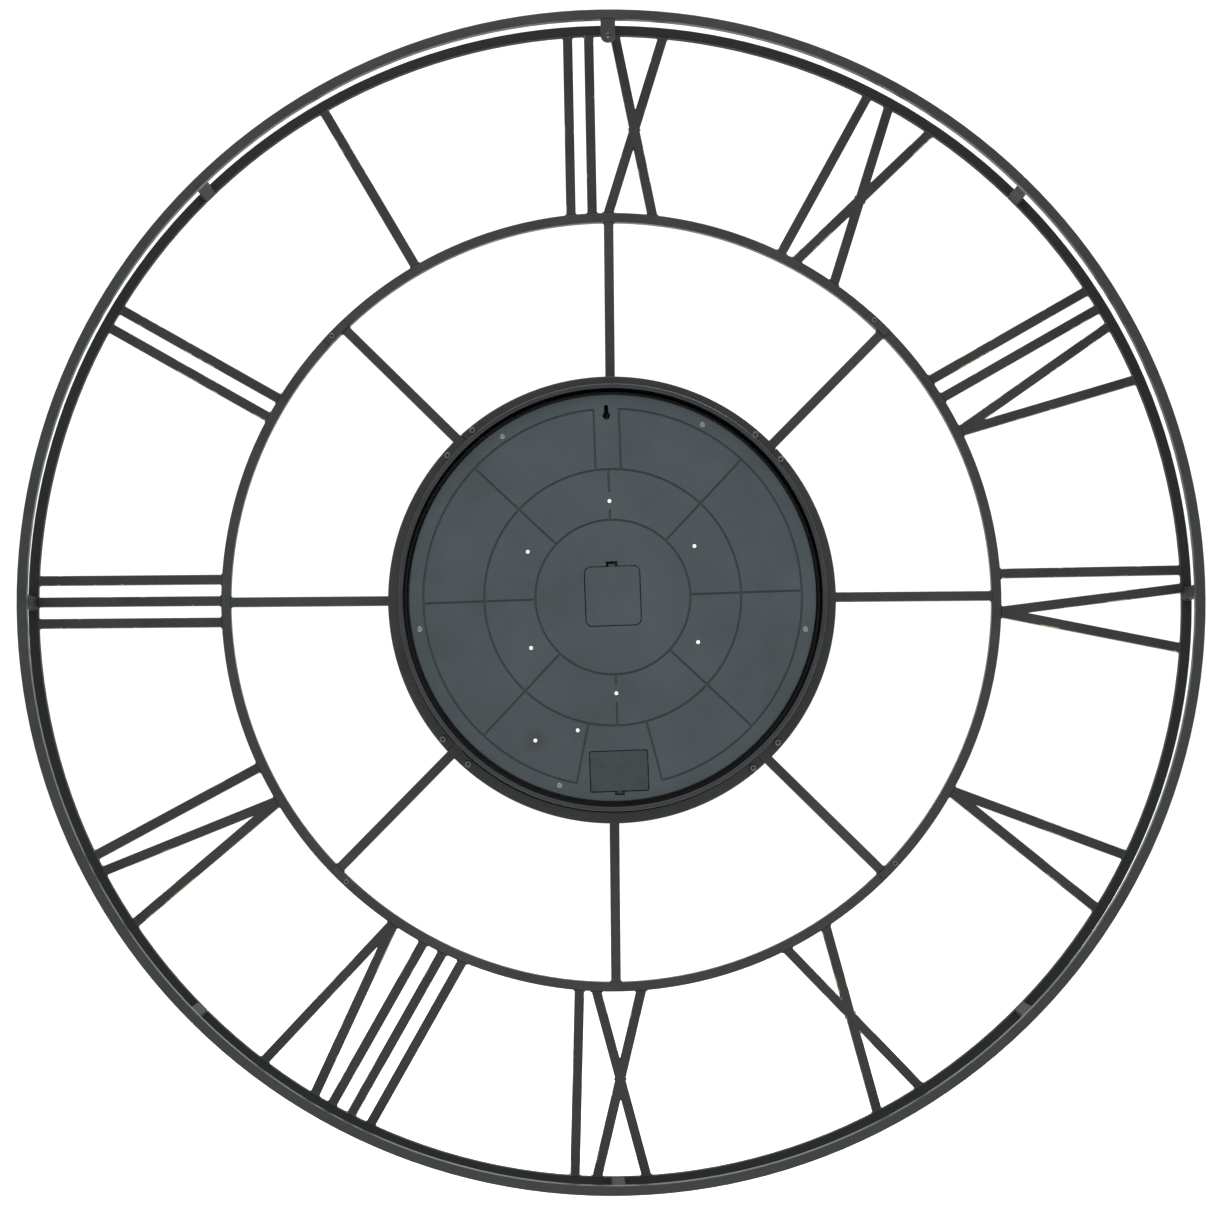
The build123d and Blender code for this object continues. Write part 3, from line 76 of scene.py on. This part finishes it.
# Numerals: bars side by side, V and X strokes about their own radius, in mm and degrees
BAR_PITCH = 22.1
VEE_SPREAD = 62.2
VEE_APEX_IN = 4.5
CROSS_OUTER = 50.5
CROSS_INNER = 45.5
NUMERALS = (
    dict(angle=90, bars=2, at=-29.0, lean=-0.6, cross=3.25),
    dict(angle=60, bars=1, at=0.0, lean=0.0),
    dict(angle=30, bars=2, at=0.0, lean=0.0),
    dict(angle=0, bars=3, at=1.5, lean=0.0),
    dict(angle=-30, bars=1, at=38.5, lean=2.1, vee=-0.7),
    dict(angle=-60, bars=3, at=-27.0, lean=0.0, vee=4.5),
    dict(angle=-90, bars=1, at=40.7, lean=1.9, cross=-0.4),
    dict(angle=-120, bars=0, at=0.0, lean=0.0, cross=0.8),
    dict(angle=-150, bars=0, at=0.0, lean=0.0, vee=0.1),
    dict(angle=180, bars=1, at=-24.0, lean=-0.6, vee=2.4),
    dict(angle=150, bars=2, at=-16.3, lean=0.7, vee=4.7),
    dict(angle=120, bars=1, at=-25.4, lean=-0.7, cross=2.3),
)

# Weld beads: size in mm, and how many rings and corners each has
BEAD_RADIUS = 1.4
BEAD_STAND = 0.1
BEAD_INSET = 0.5
BEAD_RINGS = 7
BEAD_CORNERS = 6
BEAD_RIPPLE = 0.16
BEAD_RIPPLES = 3.0

# Dial print, in mm
CLOCK_TURN = -1.5
DIAL_FRONT = 70.5
INK_THICK = 0.12
TICK_COUNT = 60
TICK_INNER_R = 182.0
TICK_OUTER_R = 190.0
TICK_WIDTH = 1.6
BATON_COUNT = 12
BATON_INNER_R = 150.0
BATON_OUTER_R = 176.0
BATON_WIDTH = 7.0
TRACK_INNER_R = TICK_OUTER_R
TRACK_WIDTH = 1.2
TRACK_STEPS = 240
TRACK_CORNERS = 4
BOX_CORNERS = 8


def in_metres(x, y, depth):
    """Point at x and y from the clock's axis, seen from the front, and a depth, as metres in the frame."""
    back = -np.asarray(depth, float)
    up = np.asarray(y, float) - HANG_DROP
    return np.stack(np.broadcast_arrays(x, back, up), -1) / METRE


def show(name, points, faces, material):
    """Makes a mesh piece that rides on the clock."""
    mesh = bpy.data.meshes.new(name)
    mesh.from_pydata(points.reshape(-1, 3).tolist(), [], faces)
    mesh.update()
    piece = bpy.data.objects.new(name, mesh)
    bpy.context.scene.collection.objects.link(piece)
    piece.data.materials.append(material)
    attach(piece, "clock")
    return piece


# Finishes: how broken up the clouds and the grain of each one are, and the span of noise that makes a cloud
CLOUD_DETAIL = 4.0
CLOUD_BREAK = 0.6
CLOUD_FROM = 0.3
CLOUD_TO = 0.7
GRAIN_DETAIL = 2.0


def linear(text):
    """sRGB hex colour as linear red, green and blue, with full alpha."""
    shares = [int(text[k:k + 2], 16) / 255 for k in (1, 3, 5)]
    return tuple(c / 12.92 if c <= 0.04045 else ((c + 0.055) / 1.055) ** 2.4 for c in shares) + (1.0,)


def add(tree, kind, inputs=None, **settings):
    """Adds a node with its settings, and sets or links its inputs."""
    made = tree.nodes.new("ShaderNode" + kind)
    for key, value in settings.items():
        setattr(made, key, value)
    for key, value in (inputs or {}).items():
        if isinstance(value, bpy.types.NodeSocket):
            tree.links.new(value, made.inputs[key])
        else:
            made.inputs[key].default_value = value
    return made


def finish(name, dark, light, cloud, grain, rise, rough, **sockets):
    """Surface whose colour and roughness drift between two values in clouds, under a finer raised grain.

    Sizes are in mm: cloud is the width of the drift, grain the width of the bumps and rise their height.
    The sockets named set the shader's own values.
    """
    made = bpy.data.materials.new(name)
    made.use_nodes = True
    tree = made.node_tree
    shader = tree.nodes["Principled BSDF"]
    place = add(tree, "TexCoord").outputs["Object"]
    drift = add(tree, "TexNoise", {
        "Vector": place, "Scale": METRE / cloud, "Detail": CLOUD_DETAIL, "Roughness": CLOUD_BREAK,
    })
    share = add(tree, "MapRange", {"Value": drift.outputs[0], "From Min": CLOUD_FROM, "From Max": CLOUD_TO})
    tone = add(tree, "Mix", {0: share.outputs[0], 6: linear(dark), 7: linear(light)}, data_type="RGBA")
    dull = add(tree, "MapRange", {"Value": share.outputs[0], "To Min": rough[0], "To Max": rough[1]})
    bumps = add(tree, "TexNoise", {"Vector": place, "Scale": METRE / grain, "Detail": GRAIN_DETAIL})
    raised = add(tree, "Bump", {"Height": bumps.outputs[0], "Distance": rise / METRE})
    tree.links.new(tone.outputs[2], shader.inputs["Base Color"])
    tree.links.new(dull.outputs[0], shader.inputs["Roughness"])
    tree.links.new(raised.outputs[0], shader.inputs["Normal"])
    for key, value in sockets.items():
        shader.inputs[key.replace("_", " ")].default_value = value
    return made


def paint_over(material, share, colour):
    """Lays a colour over what the finish has, by a share that a socket gives."""
    tree = material.node_tree
    shader = tree.nodes["Principled BSDF"]
    under = shader.inputs["Base Color"].links[0].from_socket
    tone = add(tree, "Mix", {0: share, 6: under, 7: linear(colour)}, data_type="RGBA")
    tree.links.new(tone.outputs[2], shader.inputs["Base Color"])


def place_and_depth(material):
    """Sockets of a finish: the place on its piece, and that place's Y, which is minus its depth."""
    tree = material.node_tree
    place = add(tree, "TexCoord").outputs["Object"]
    return place, add(tree, "SeparateXYZ", {"Vector": place}).outputs["Y"]


# Charcoal powder coat on mild steel tube: sprayed and baked, so it is matt with a soft orange peel. The
# peel is drawn at 3 mm, twice its real width, so that it shows
powder_coat = finish(
    "powder_coated_steel", "#191c1e", "#232628", cloud=45.0, grain=3.0, rise=0.06, rough=(0.38, 0.5),
    Specular_IOR_Level=0.3,
)

# The same coat on the front rim and the posts, its colour darkened to paint in the shade that falls on them,
# and rougher: blacker and drier
shade_darkened_coat = finish(
    "shade_darkened_powder_coated_steel", "#0a0c0d", "#121517", cloud=45.0, grain=3.0, rise=0.06, rough=(0.62, 0.74),
    Specular_IOR_Level=0.2,
)

# The coat of the numerals, a little darker than the frame's as painted shade, and rubbed through to a tan
# undercoat in places along their edges and sides
worn_and_shaded_coat = finish(
    "rubbed_and_shade_darkened_powder_coated_steel", "#131618", "#1d2021", cloud=45.0, grain=3.0, rise=0.06, rough=(0.38, 0.5),
    Specular_IOR_Level=0.3,
)
RUBBED_FROM = BAR_REAR + 0.03
RUBBED_TO = BAR_REAR + 3.5
FACE_FADE = 0.1
SIDE_FADE = 0.8
PATCH_WIDTH = 60.0
PATCH_DETAIL = 5.0
PATCH_BREAK = 0.7
PATCH_FROM = 0.55
PATCH_TO = 0.58
worn_tree = worn_and_shaded_coat.node_tree
worn_place, worn_depth = place_and_depth(worn_and_shaded_coat)
near_edge = add(worn_tree, "MapRange", {
    "Value": worn_depth, "From Min": -RUBBED_TO / METRE, "From Max": (SIDE_FADE - RUBBED_TO) / METRE,
})
off_face = add(worn_tree, "MapRange", {
    "Value": worn_depth, "From Min": (-RUBBED_FROM - FACE_FADE) / METRE, "From Max": -RUBBED_FROM / METRE,
    "To Min": 1.0, "To Max": 0.0,
})
patches = add(worn_tree, "TexNoise", {
    "Vector": worn_place, "Scale": METRE / PATCH_WIDTH, "Detail": PATCH_DETAIL, "Roughness": PATCH_BREAK,
})
rubbed = add(worn_tree, "MapRange", {
    "Value": patches.outputs[0], "From Min": PATCH_FROM, "From Max": PATCH_TO,
})
edge_band = add(worn_tree, "Math", {0: near_edge.outputs[0], 1: off_face.outputs[0]}, operation="MULTIPLY")
rubbed_edge = add(worn_tree, "Math", {0: edge_band.outputs[0], 1: rubbed.outputs[0]}, operation="MULTIPLY")
paint_over(worn_and_shaded_coat, rubbed_edge.outputs[0], "#8a7456")

# Slate grey ABS, moulded against a spark-eroded tool: an even dull grain, drawn at 2 mm so that it shows,
# and slow cloudy shading where the plastic cooled unevenly
moulded_abs = finish(
    "moulded_slate_abs", "#2c3437", "#343c40", cloud=70.0, grain=2.0, rise=0.06, rough=(0.46, 0.58),
    Specular_IOR_Level=0.3,
)

# The battery door came from another tool: darker, with a coarser grain
door_abs = finish(
    "moulded_dark_slate_abs", "#22282b", "#2a3033", cloud=16.0, grain=2.4, rise=0.12, rough=(0.44, 0.54),
    Specular_IOR_Level=0.3,
)

# The grooves' floors are painted darker: painted shade in the recesses
GROOVE_TOP = 30.3
GROOVE_FLOOR = 30.9
GROOVE_SHADE = 0.45
abs_tree = moulded_abs.node_tree
abs_place, abs_depth = place_and_depth(moulded_abs)
in_groove = add(abs_tree, "MapRange", {
    "Value": abs_depth, "From Min": -GROOVE_FLOOR / METRE, "From Max": -GROOVE_TOP / METRE,
    "To Min": GROOVE_SHADE, "To Max": 0.0,
})
# Painted shade laid over the groove floors
paint_over(moulded_abs, in_groove.outputs[0], "#171c1e")

# A brown heat mark round one of the white plugs
MARK_PLACE = (80.2, -145.5, 30.0)
MARK_INNER = 3.0
MARK_OUTER = 17.0
MARK_SHARE = 0.6
mark_middle = tuple(in_metres(*MARK_PLACE))
from_mark = add(abs_tree, "VectorMath", {0: abs_place, 1: mark_middle}, operation="DISTANCE")
scorched = add(abs_tree, "MapRange", {
    "Value": from_mark.outputs["Value"], "From Min": MARK_INNER / METRE, "From Max": MARK_OUTER / METRE,
    "To Min": MARK_SHARE, "To Max": 0.0,
})
paint_over(moulded_abs, scorched.outputs[0], "#2a2120")

# Black ABS of the case, bezel and battery tray: the same moulding, satin
case_abs = finish(
    "moulded_black_abs", "#141618", "#1d2022", cloud=40.0, grain=1.6, rise=0.02, rough=(0.3, 0.42),
    Specular_IOR_Level=0.35,
)

# Black polystyrene of the movement and its knob: moulded smooth, a little shiny
movement_styrene = finish(
    "moulded_black_styrene", "#17181a", "#1f2022", cloud=12.0, grain=1.0, rise=0.01, rough=(0.3, 0.42),
)

# Polypropylene of the plugs inside the rims: waxy and dull
plug_propylene = finish(
    "moulded_black_propylene", "#202124", "#292a2d", cloud=10.0, grain=1.2, rise=0.02, rough=(0.45, 0.6),
)

# White nylon of the small plugs and the wheels: moulded, milky, slightly yellowed
moulded_nylon = finish(
    "moulded_white_nylon", "#dcd9cf", "#eeece5", cloud=6.0, grain=0.8, rise=0.01, rough=(0.4, 0.55),
    Subsurface_Weight=0.15, Subsurface_Scale=0.002,
)

# Black oxide steel of the frame's screws: a thin oily conversion coat that stays metallic. The heads' tops
# keep a lighter colour, which is a painted highlight, and black is laid over their flanks and sockets
black_oxide = finish(
    "black_oxide_steel", "#484b4d", "#5f6264", cloud=2.5, grain=0.7, rise=0.02, rough=(0.28, 0.42),
    Metallic=0.8,
)
HEAD_TOP = 57.9
HEAD_FLANK = 58.2
OUTSIDE_HIGHLIGHT_SHARE = 0.9
oxide_depth = place_and_depth(black_oxide)[1]
# Black laid over all but the heads' tops, which keep their painted highlight
outside_painted_highlight = add(black_oxide.node_tree, "MapRange", {
    "Value": oxide_depth, "From Min": -HEAD_FLANK / METRE, "From Max": -HEAD_TOP / METRE,
    "To Min": OUTSIDE_HIGHLIGHT_SHARE, "To Max": 0.0,
})
paint_over(black_oxide, outside_painted_highlight.outputs[0], "#0b0c0d")

# Zinc plated steel of the cover's screws: bright, slightly blue, dulled by handling
zinc_plate = finish(
    "zinc_plated_steel", "#66696a", "#8b8d8d", cloud=2.5, grain=0.6, rise=0.01, rough=(0.25, 0.45),
    Metallic=1.0,
)

# Printed card of the dial: matt paper face with a faint fibre, a little yellow
dial_card = finish(
    "printed_dial_card", "#f2ede1", "#f7f2e7", cloud=35.0, grain=1.5, rise=0.01, rough=(0.6, 0.75),
)

# Black lacquer on aluminium sheet for the hands: sprayed, glossy, with a soft peel
lacquer = finish(
    "black_lacquered_aluminium", "#121314", "#1b1c1d", cloud=14.0, grain=2.0, rise=0.01, rough=(0.22, 0.34),
    Coat_Weight=0.4, Coat_Roughness=0.1,
)

# Screen ink of the dial print: black, dry and matt
screen_ink = finish(
    "black_screen_ink", "#161616", "#222120", cloud=8.0, grain=0.8, rise=0.005, rough=(0.6, 0.75),
)

# Turned brass of the arbor, nut and cap: warm metal with fine tool marks
turned_brass = finish(
    "turned_brass", "#a5863f", "#c2a55f", cloud=4.0, grain=0.5, rise=0.01, rough=(0.22, 0.36),
    Metallic=1.0,
)

# Painted steel jacket of the cells: smooth grey with a soft sheen
cell_jacket = finish(
    "painted_cell_jacket", "#3c4043", "#46494c", cloud=20.0, grain=1.5, rise=0.005, rough=(0.25, 0.35),
    Metallic=0.3,
)

# Nickel plated spring steel of the battery contacts: bright with fine drawing marks
nickel_plate = finish(
    "nickel_plated_steel", "#a3a29b", "#c4c3bd", cloud=3.0, grain=0.5, rise=0.01, rough=(0.2, 0.35),
    Metallic=1.0,
)

# Soft PVC sleeve of the battery leads: extruded, slightly greasy sheen
lead_pvc = finish(
    "extruded_black_pvc", "#1a1a1b", "#242425", cloud=6.0, grain=0.8, rise=0.01, rough=(0.35, 0.5),
)

# Float glass of the lens: clear, flat and polished, with hardly any body colour
lens_glass = finish(
    "polished_float_glass", "#fbfcfb", "#fdfdfc", cloud=150.0, grain=40.0, rise=0.005, rough=(0.01, 0.03),
    Transmission_Weight=1.0, IOR=1.52,
)

FINISHES = dict(
    frame_steel=powder_coat,
    black_screw=black_oxide,
    zinc_screw=zinc_plate,
    plug_plastic=plug_propylene,
    cover_plastic=moulded_abs,
    case_plastic=case_abs,
    movement_plastic=movement_styrene,
    white_nylon=moulded_nylon,
    dial_sheet=dial_card,
    lens_glass=lens_glass,
    hand_sheet=lacquer,
    brass=turned_brass,
    cell_jacket=cell_jacket,
    spring_steel=nickel_plate,
    lead_insulation=lead_pvc,
)
# The numerals, the front rim and the posts take coats whose colour is darkened as painted shade; the battery
# door takes its own moulding
SPECIAL_FINISHES = dict(numeral=worn_and_shaded_coat, front_rim=shade_darkened_coat, rim_posts=shade_darkened_coat, battery_door=door_abs)
for row in frame["record"]["subparts"]:
    material = FINISHES[row["material_slot"]]
    for beginning, special in SPECIAL_FINISHES.items():
        if row["node"].startswith(beginning):
            material = special
    for place in frame["nodes"][row["node"]].material_slots:
        place.material = material


# Weld beads, where bars meet rings, rims and each other


def polar(radius, angle, across=0.0):
    """Point at a radius along an angle, moved across it, counterclockwise, seen from the front."""
    turn = math.radians(angle)
    along = np.array([math.cos(turn), math.sin(turn)])
    return radius * along + across * np.array([-along[1], along[0]])


def unit(vector):
    """The vector with a length of one."""
    return vector / np.linalg.norm(vector)


def reach(point, along, radius):
    """Where a line from a point meets a circle about the clock's axis, going along."""
    inward = point @ along
    return point + along * (math.sqrt(inward ** 2 - point @ point + radius ** 2) - inward)


beads = []


def weld_depth(corner, out):
    """A bead that runs from the rear face to the front face of a bar, in a corner that opens outward."""
    start = in_metres(corner[0], corner[1], BAR_REAR + BEAD_INSET)
    end = in_metres(corner[0], corner[1], BAR_FRONT - BEAD_INSET)
    beads.append((start, end, (out[0], 0.0, out[1])))


def weld_bar(inner_point, outer_point, inner_r, outer_r, inner_sides=(1, -1)):
    """Beads where a bar's sides meet the rings: both at its outer end, those named at its inner end."""
    along = unit(outer_point - inner_point)
    across = np.array([-along[1], along[0]])
    for side in (1, -1):
        edge = inner_point + across * side * BAR_TUBE / 2
        if side in inner_sides:
            corner = reach(edge, along, inner_r)
            weld_depth(corner, unit(across * side + unit(corner)))
        corner = reach(edge, along, outer_r)
        weld_depth(corner, unit(across * side - unit(corner)))


def crossing(point_a, along_a, point_b, along_b):
    """Where two lines cross."""
    steps = np.linalg.solve(np.stack([along_a, -along_b], 1), point_b - point_a)
    return point_a + along_a * steps[0]


for numeral in NUMERALS:
    angle = numeral["angle"]
    sway = (RIM_INNER_R - MIDDLE_OUTER_R) / 2 * math.tan(math.radians(numeral["lean"]))
    for count in range(numeral["bars"]):
        across = numeral["at"] + (count - (numeral["bars"] - 1) / 2) * BAR_PITCH
        inner_point = polar(MIDDLE_OUTER_R, angle, across - sway)
        weld_bar(inner_point, polar(RIM_INNER_R, angle, across + sway), MIDDLE_OUTER_R, RIM_INNER_R)
    if "vee" in numeral:
        middle = angle + numeral["vee"]
        apex = polar(MIDDLE_OUTER_R - VEE_APEX_IN, middle)
        for side in (1, -1):
            tip = polar(RIM_INNER_R, middle, side * VEE_SPREAD / 2)
            weld_bar(apex, tip, MIDDLE_OUTER_R, RIM_INNER_R, inner_sides=(side,))
        lean = unit(tip - apex)
        inside = apex + np.array([-lean[1], lean[0]]) * BAR_TUBE / 2
        crotch = crossing(inside, lean, apex, polar(1.0, middle))
        weld_depth(crotch, polar(1.0, middle))
    if "cross" in numeral:
        middle = angle + numeral["cross"]
        arms = []
        for side in (1, -1):
            inner_point = polar(MIDDLE_OUTER_R, middle, side * CROSS_INNER / 2)
            outer_point = polar(RIM_INNER_R, middle, -side * CROSS_OUTER / 2)
            weld_bar(inner_point, outer_point, MIDDLE_OUTER_R, RIM_INNER_R)
            along = unit(outer_point - inner_point)
            arms.append((inner_point, along, np.array([-along[1], along[0]])))
        (point_a, along_a, across_a), (point_b, along_b, across_b) = arms
        for side_a in (1, -1):
            for side_b in (1, -1):
                edge_a = point_a + across_a * side_a * BAR_TUBE / 2
                edge_b = point_b + across_b * side_b * BAR_TUBE / 2
                corner = crossing(edge_a, along_a, edge_b, along_b)
                weld_depth(corner, unit(across_a * side_a + across_b * side_b))

for start in JOINT_ANGLES:
    middle = start + QUARTER / 2
    for angle, across in ((middle, 0.0), (start, JOINT_SIDE + FOOT_WIDTH / 2)):
        inner_point = polar(HUB_OUTER_R, angle, across)
        outer_point = polar(MIDDLE_INNER_R, angle, across)
        weld_bar(inner_point, outer_point, HUB_OUTER_R, MIDDLE_INNER_R, inner_sides=())
    for angle, across in ((middle, 0.0), (start, JOINT_SIDE + POST_WIDTH / 2)):
        tangent = polar(0.0, angle, 1.0)
        for side in (1, -1):
            for depth, forward in ((RIM_TUBE, 1), (FRONT_RIM_REAR, -1)):
                ends = []
                for radial in (BEAD_INSET - RIM_TUBE / 2, RIM_TUBE / 2 - BEAD_INSET):
                    point = polar(RIM_OUTER_R - RIM_TUBE / 2 + radial, angle, across + side * POST_WIDTH / 2)
                    ends.append(in_metres(point[0], point[1], depth))
                out = unit(np.array([tangent[0] * side, -forward, tangent[1] * side]))
                beads.append((ends[0], ends[1], tuple(out)))


def bead_surface(beads):
    """Closed beads: a circle carried along each corner, drawn in to a point at each end.

    At a share s of its length the radius is sqrt(1 - (2s - 1)^4) times one plus the ripple's sine. The
    centre stands a little outward of the corner.
    """
    start, end, out = (np.array([bead[k] for bead in beads], float) for k in range(3))
    share = np.linspace(0.0, 1.0, BEAD_RINGS)
    turn = np.arange(BEAD_CORNERS) * 2 * math.pi / BEAD_CORNERS
    swell = np.sqrt(np.clip(1 - (2 * share - 1) ** 4, 0.0, 1.0))
    ripple = 1 + BEAD_RIPPLE * np.sin(share * BEAD_RIPPLES * 2 * math.pi)
    radius = BEAD_RADIUS / METRE * swell * ripple
    along = (end - start) / np.linalg.norm(end - start, axis=1, keepdims=True)
    side = np.cross(along, out)
    centre = start[:, None] + (end - start)[:, None] * share[None, :, None]
    centre = centre + out[:, None] * BEAD_STAND / METRE
    ring = np.cos(turn)[None, :, None] * out[:, None] + np.sin(turn)[None, :, None] * side[:, None]
    inner = centre[:, 1:-1, None] + radius[None, 1:-1, None, None] * ring[:, None]
    return np.concatenate([centre[:, :1], inner.reshape(len(start), -1, 3), centre[:, -1:]], 1)


def bead_faces(count):
    """Faces of the beads: squares between rings, and a fan of triangles round each end's point."""
    rings = BEAD_RINGS - 2
    corner = np.arange(BEAD_CORNERS)
    beyond = (corner + 1) % BEAD_CORNERS
    row = 1 + np.arange(rings - 1)[:, None] * BEAD_CORNERS
    near = [row + corner, row + beyond]
    squares = np.stack([*near, near[1] + BEAD_CORNERS, near[0] + BEAD_CORNERS], -1)
    last = 1 + (rings - 1) * BEAD_CORNERS
    tip = last + BEAD_CORNERS
    near_fan = np.stack([corner * 0, 1 + beyond, 1 + corner], -1)
    far_fan = np.stack([corner * 0 + tip, last + corner, last + beyond], -1)
    shift = np.arange(count)[:, None, None] * (tip + 1)
    fans = np.concatenate([near_fan, far_fan])
    all_squares = (squares.reshape(1, -1, 4) + shift).reshape(-1, 4)
    all_fans = (fans + shift).reshape(-1, 3)
    return all_squares.tolist() + all_fans.tolist()


weld_beads = show("weld_beads", bead_surface(beads), bead_faces(len(beads)), powder_coat)
weld_beads.data.polygons.foreach_set("use_smooth", np.ones(len(weld_beads.data.polygons), bool))


# Dial print: thin ink marks on the dial's front face


def ink_marks(count, inner_r, outer_r, width):
    """Flat boxes round the dial: at each angle, corners at two radii, two sides and two depths."""
    angle = np.radians(90 + CLOCK_TURN - np.arange(count) * 360 / count)[:, None, None, None]
    radius = np.array([inner_r, outer_r])[None, :, None, None]
    across = np.array([-width / 2, width / 2])[None, None, :, None]
    depth = np.array([DIAL_FRONT, DIAL_FRONT + INK_THICK])[None, None, None, :]
    x = radius * np.cos(angle) - across * np.sin(angle)
    y = radius * np.sin(angle) + across * np.cos(angle)
    return in_metres(x, y, depth)


def box_faces(count):
    """Six outward faces of each box, whose corners run by radius, then side, then depth."""
    one = np.array([[0, 1, 3, 2], [4, 6, 7, 5], [0, 4, 5, 1], [2, 3, 7, 6], [0, 2, 6, 4], [1, 5, 7, 3]])
    return (one[None] + np.arange(count)[:, None, None] * BOX_CORNERS).reshape(-1, 4).tolist()


def ink_track():
    """Closed ring of ink: a flat rectangle carried once round the dial."""
    angle = np.arange(TRACK_STEPS)[:, None] * 2 * math.pi / TRACK_STEPS
    radius = TRACK_INNER_R + TRACK_WIDTH * np.array([0.0, 1.0, 1.0, 0.0])
    depth = DIAL_FRONT + INK_THICK * np.array([0.0, 0.0, 1.0, 1.0])
    return in_metres(radius * np.cos(angle), radius * np.sin(angle), depth)


def ring_faces(steps, corners):
    """Squares between neighbouring sections of a closed ring."""
    step = np.arange(steps)[:, None]
    corner = np.arange(corners)[None, :]
    after = (step + 1) % steps
    beyond = (corner + 1) % corners
    here = step * corners
    there = after * corners
    quads = [here + corner, there + corner, there + beyond, here + beyond]
    return np.stack(np.broadcast_arrays(*quads), -1).reshape(-1, 4).tolist()


ticks = ink_marks(TICK_COUNT, TICK_INNER_R, TICK_OUTER_R, TICK_WIDTH)
batons = ink_marks(BATON_COUNT, BATON_INNER_R, BATON_OUTER_R, BATON_WIDTH)
show("minute_ticks", ticks, box_faces(TICK_COUNT), screen_ink)
show("hour_batons", batons, box_faces(BATON_COUNT), screen_ink)
show("minute_track", ink_track(), ring_faces(TRACK_STEPS, TRACK_CORNERS), screen_ink)

# Floor, below the hanging clock
FLOOR_UNDER = 0.12
FLOOR_HALF = 14.0
floor_height = cad_box[0][2] - FLOOR_UNDER
floor_finish = finish(
    "pale_studio_floor", "#f8f8f7", "#fafaf9", cloud=900.0, grain=20.0, rise=0.02, rough=(0.85, 0.9),
    Specular_IOR_Level=0.0,
)
floor_corners = [(-FLOOR_HALF, -FLOOR_HALF), (FLOOR_HALF, -FLOOR_HALF), (FLOOR_HALF, FLOOR_HALF),
                 (-FLOOR_HALF, FLOOR_HALF)]
floor_mesh = bpy.data.meshes.new("studio_floor")
floor_mesh.from_pydata([(x, y, floor_height) for x, y in floor_corners], [], [(0, 1, 2, 3)])
floor = bpy.data.objects.new("studio_floor", floor_mesh)
bpy.context.scene.collection.objects.link(floor)
floor_mesh.materials.append(floor_finish)

# Soft studio light: a white surround, dimmer on the camera's side and brighter overhead, and two wide
# lamps above, behind the clock and in front of it
BACKDROP = 1.1
BACKDROP_FROM = -0.2
CAMERA_SIDE = 0.85
CAMERA_SIDE_FROM = 0.9
OVERHEAD = 0.6
LAMP_WIDTH = 1.6
KEY_PLACE = (0.5, 1.4, 2.2)
KEY_POWER = 50.0
FRONT_PLACE = (-1.2, -2.0, 2.2)
FRONT_POWER = 60.0
scene = bpy.context.scene
scene.view_settings.view_transform = "Standard"
world = bpy.data.worlds.new("white_studio")
world.use_nodes = True
sky = world.node_tree
toward = add(sky, "SeparateXYZ", {"Vector": add(sky, "TexCoord").outputs["Generated"]})
around = add(sky, "MapRange", {
    "Value": toward.outputs["Y"], "From Min": BACKDROP_FROM, "From Max": CAMERA_SIDE_FROM,
    "To Min": BACKDROP, "To Max": CAMERA_SIDE,
})
above = add(sky, "MapRange", {"Value": toward.outputs["Z"], "To Max": OVERHEAD})
surround = add(sky, "Math", {0: around.outputs[0], 1: above.outputs[0]}, operation="ADD")
sky.nodes["Background"].inputs["Color"].default_value = (1.0, 1.0, 1.0, 1.0)
sky.links.new(surround.outputs[0], sky.nodes["Background"].inputs["Strength"])
scene.world = world

clock_centre = Vector((0.0, 0.0, -HANG_DROP / METRE))


def soft_lamp(name, place, power):
    """Square lamp that faces the clock's centre."""
    lamp = bpy.data.lights.new(name, "AREA")
    lamp.size = LAMP_WIDTH
    lamp.energy = power
    holder = bpy.data.objects.new(name, lamp)
    bpy.context.scene.collection.objects.link(holder)
    holder.location = place
    holder.rotation_euler = (clock_centre - Vector(place)).to_track_quat("-Z", "Y").to_euler()


soft_lamp("key_lamp", KEY_PLACE, KEY_POWER)
soft_lamp("front_lamp", FRONT_PLACE, FRONT_POWER)

# Camera of the photograph: a pinhole fitted to the rings' edges. Its axes are turned from the clock's by a
# small roll, pitch and yaw, and the shift is where the clock's centre lies in front of it, in mm
IMAGE_WIDTH = 1224.0
FOCAL_PIXELS = 2722.0
SENSOR_WIDTH = 36.0
PITCH = -0.0592
YAW = -0.0183
ROLL = math.radians(-0.5)
SHIFT = Vector((1.47, -17.14, 2745.1))
clock_axes = Matrix(((-1, 0, 0), (0, 0, -1), (0, -1, 0)))
roll = Matrix.Rotation(ROLL, 3, "Z")
pitch = Matrix.Rotation(PITCH, 3, "X")
yaw = Matrix.Rotation(YAW, 3, "Y")
view = yaw @ pitch @ roll @ clock_axes
right, down, forward = view
stand = clock_centre - view.transposed() @ SHIFT / METRE
camera_data = bpy.data.cameras.new("photo_camera")
camera_data.sensor_width = SENSOR_WIDTH
camera_data.lens = SENSOR_WIDTH * FOCAL_PIXELS / IMAGE_WIDTH
camera = bpy.data.objects.new("photo_camera", camera_data)
scene.collection.objects.link(camera)
turned = Matrix((right, -down, -forward)).transposed().to_4x4()
camera.matrix_world = Matrix.Translation(stand) @ turned
scene.camera = camera
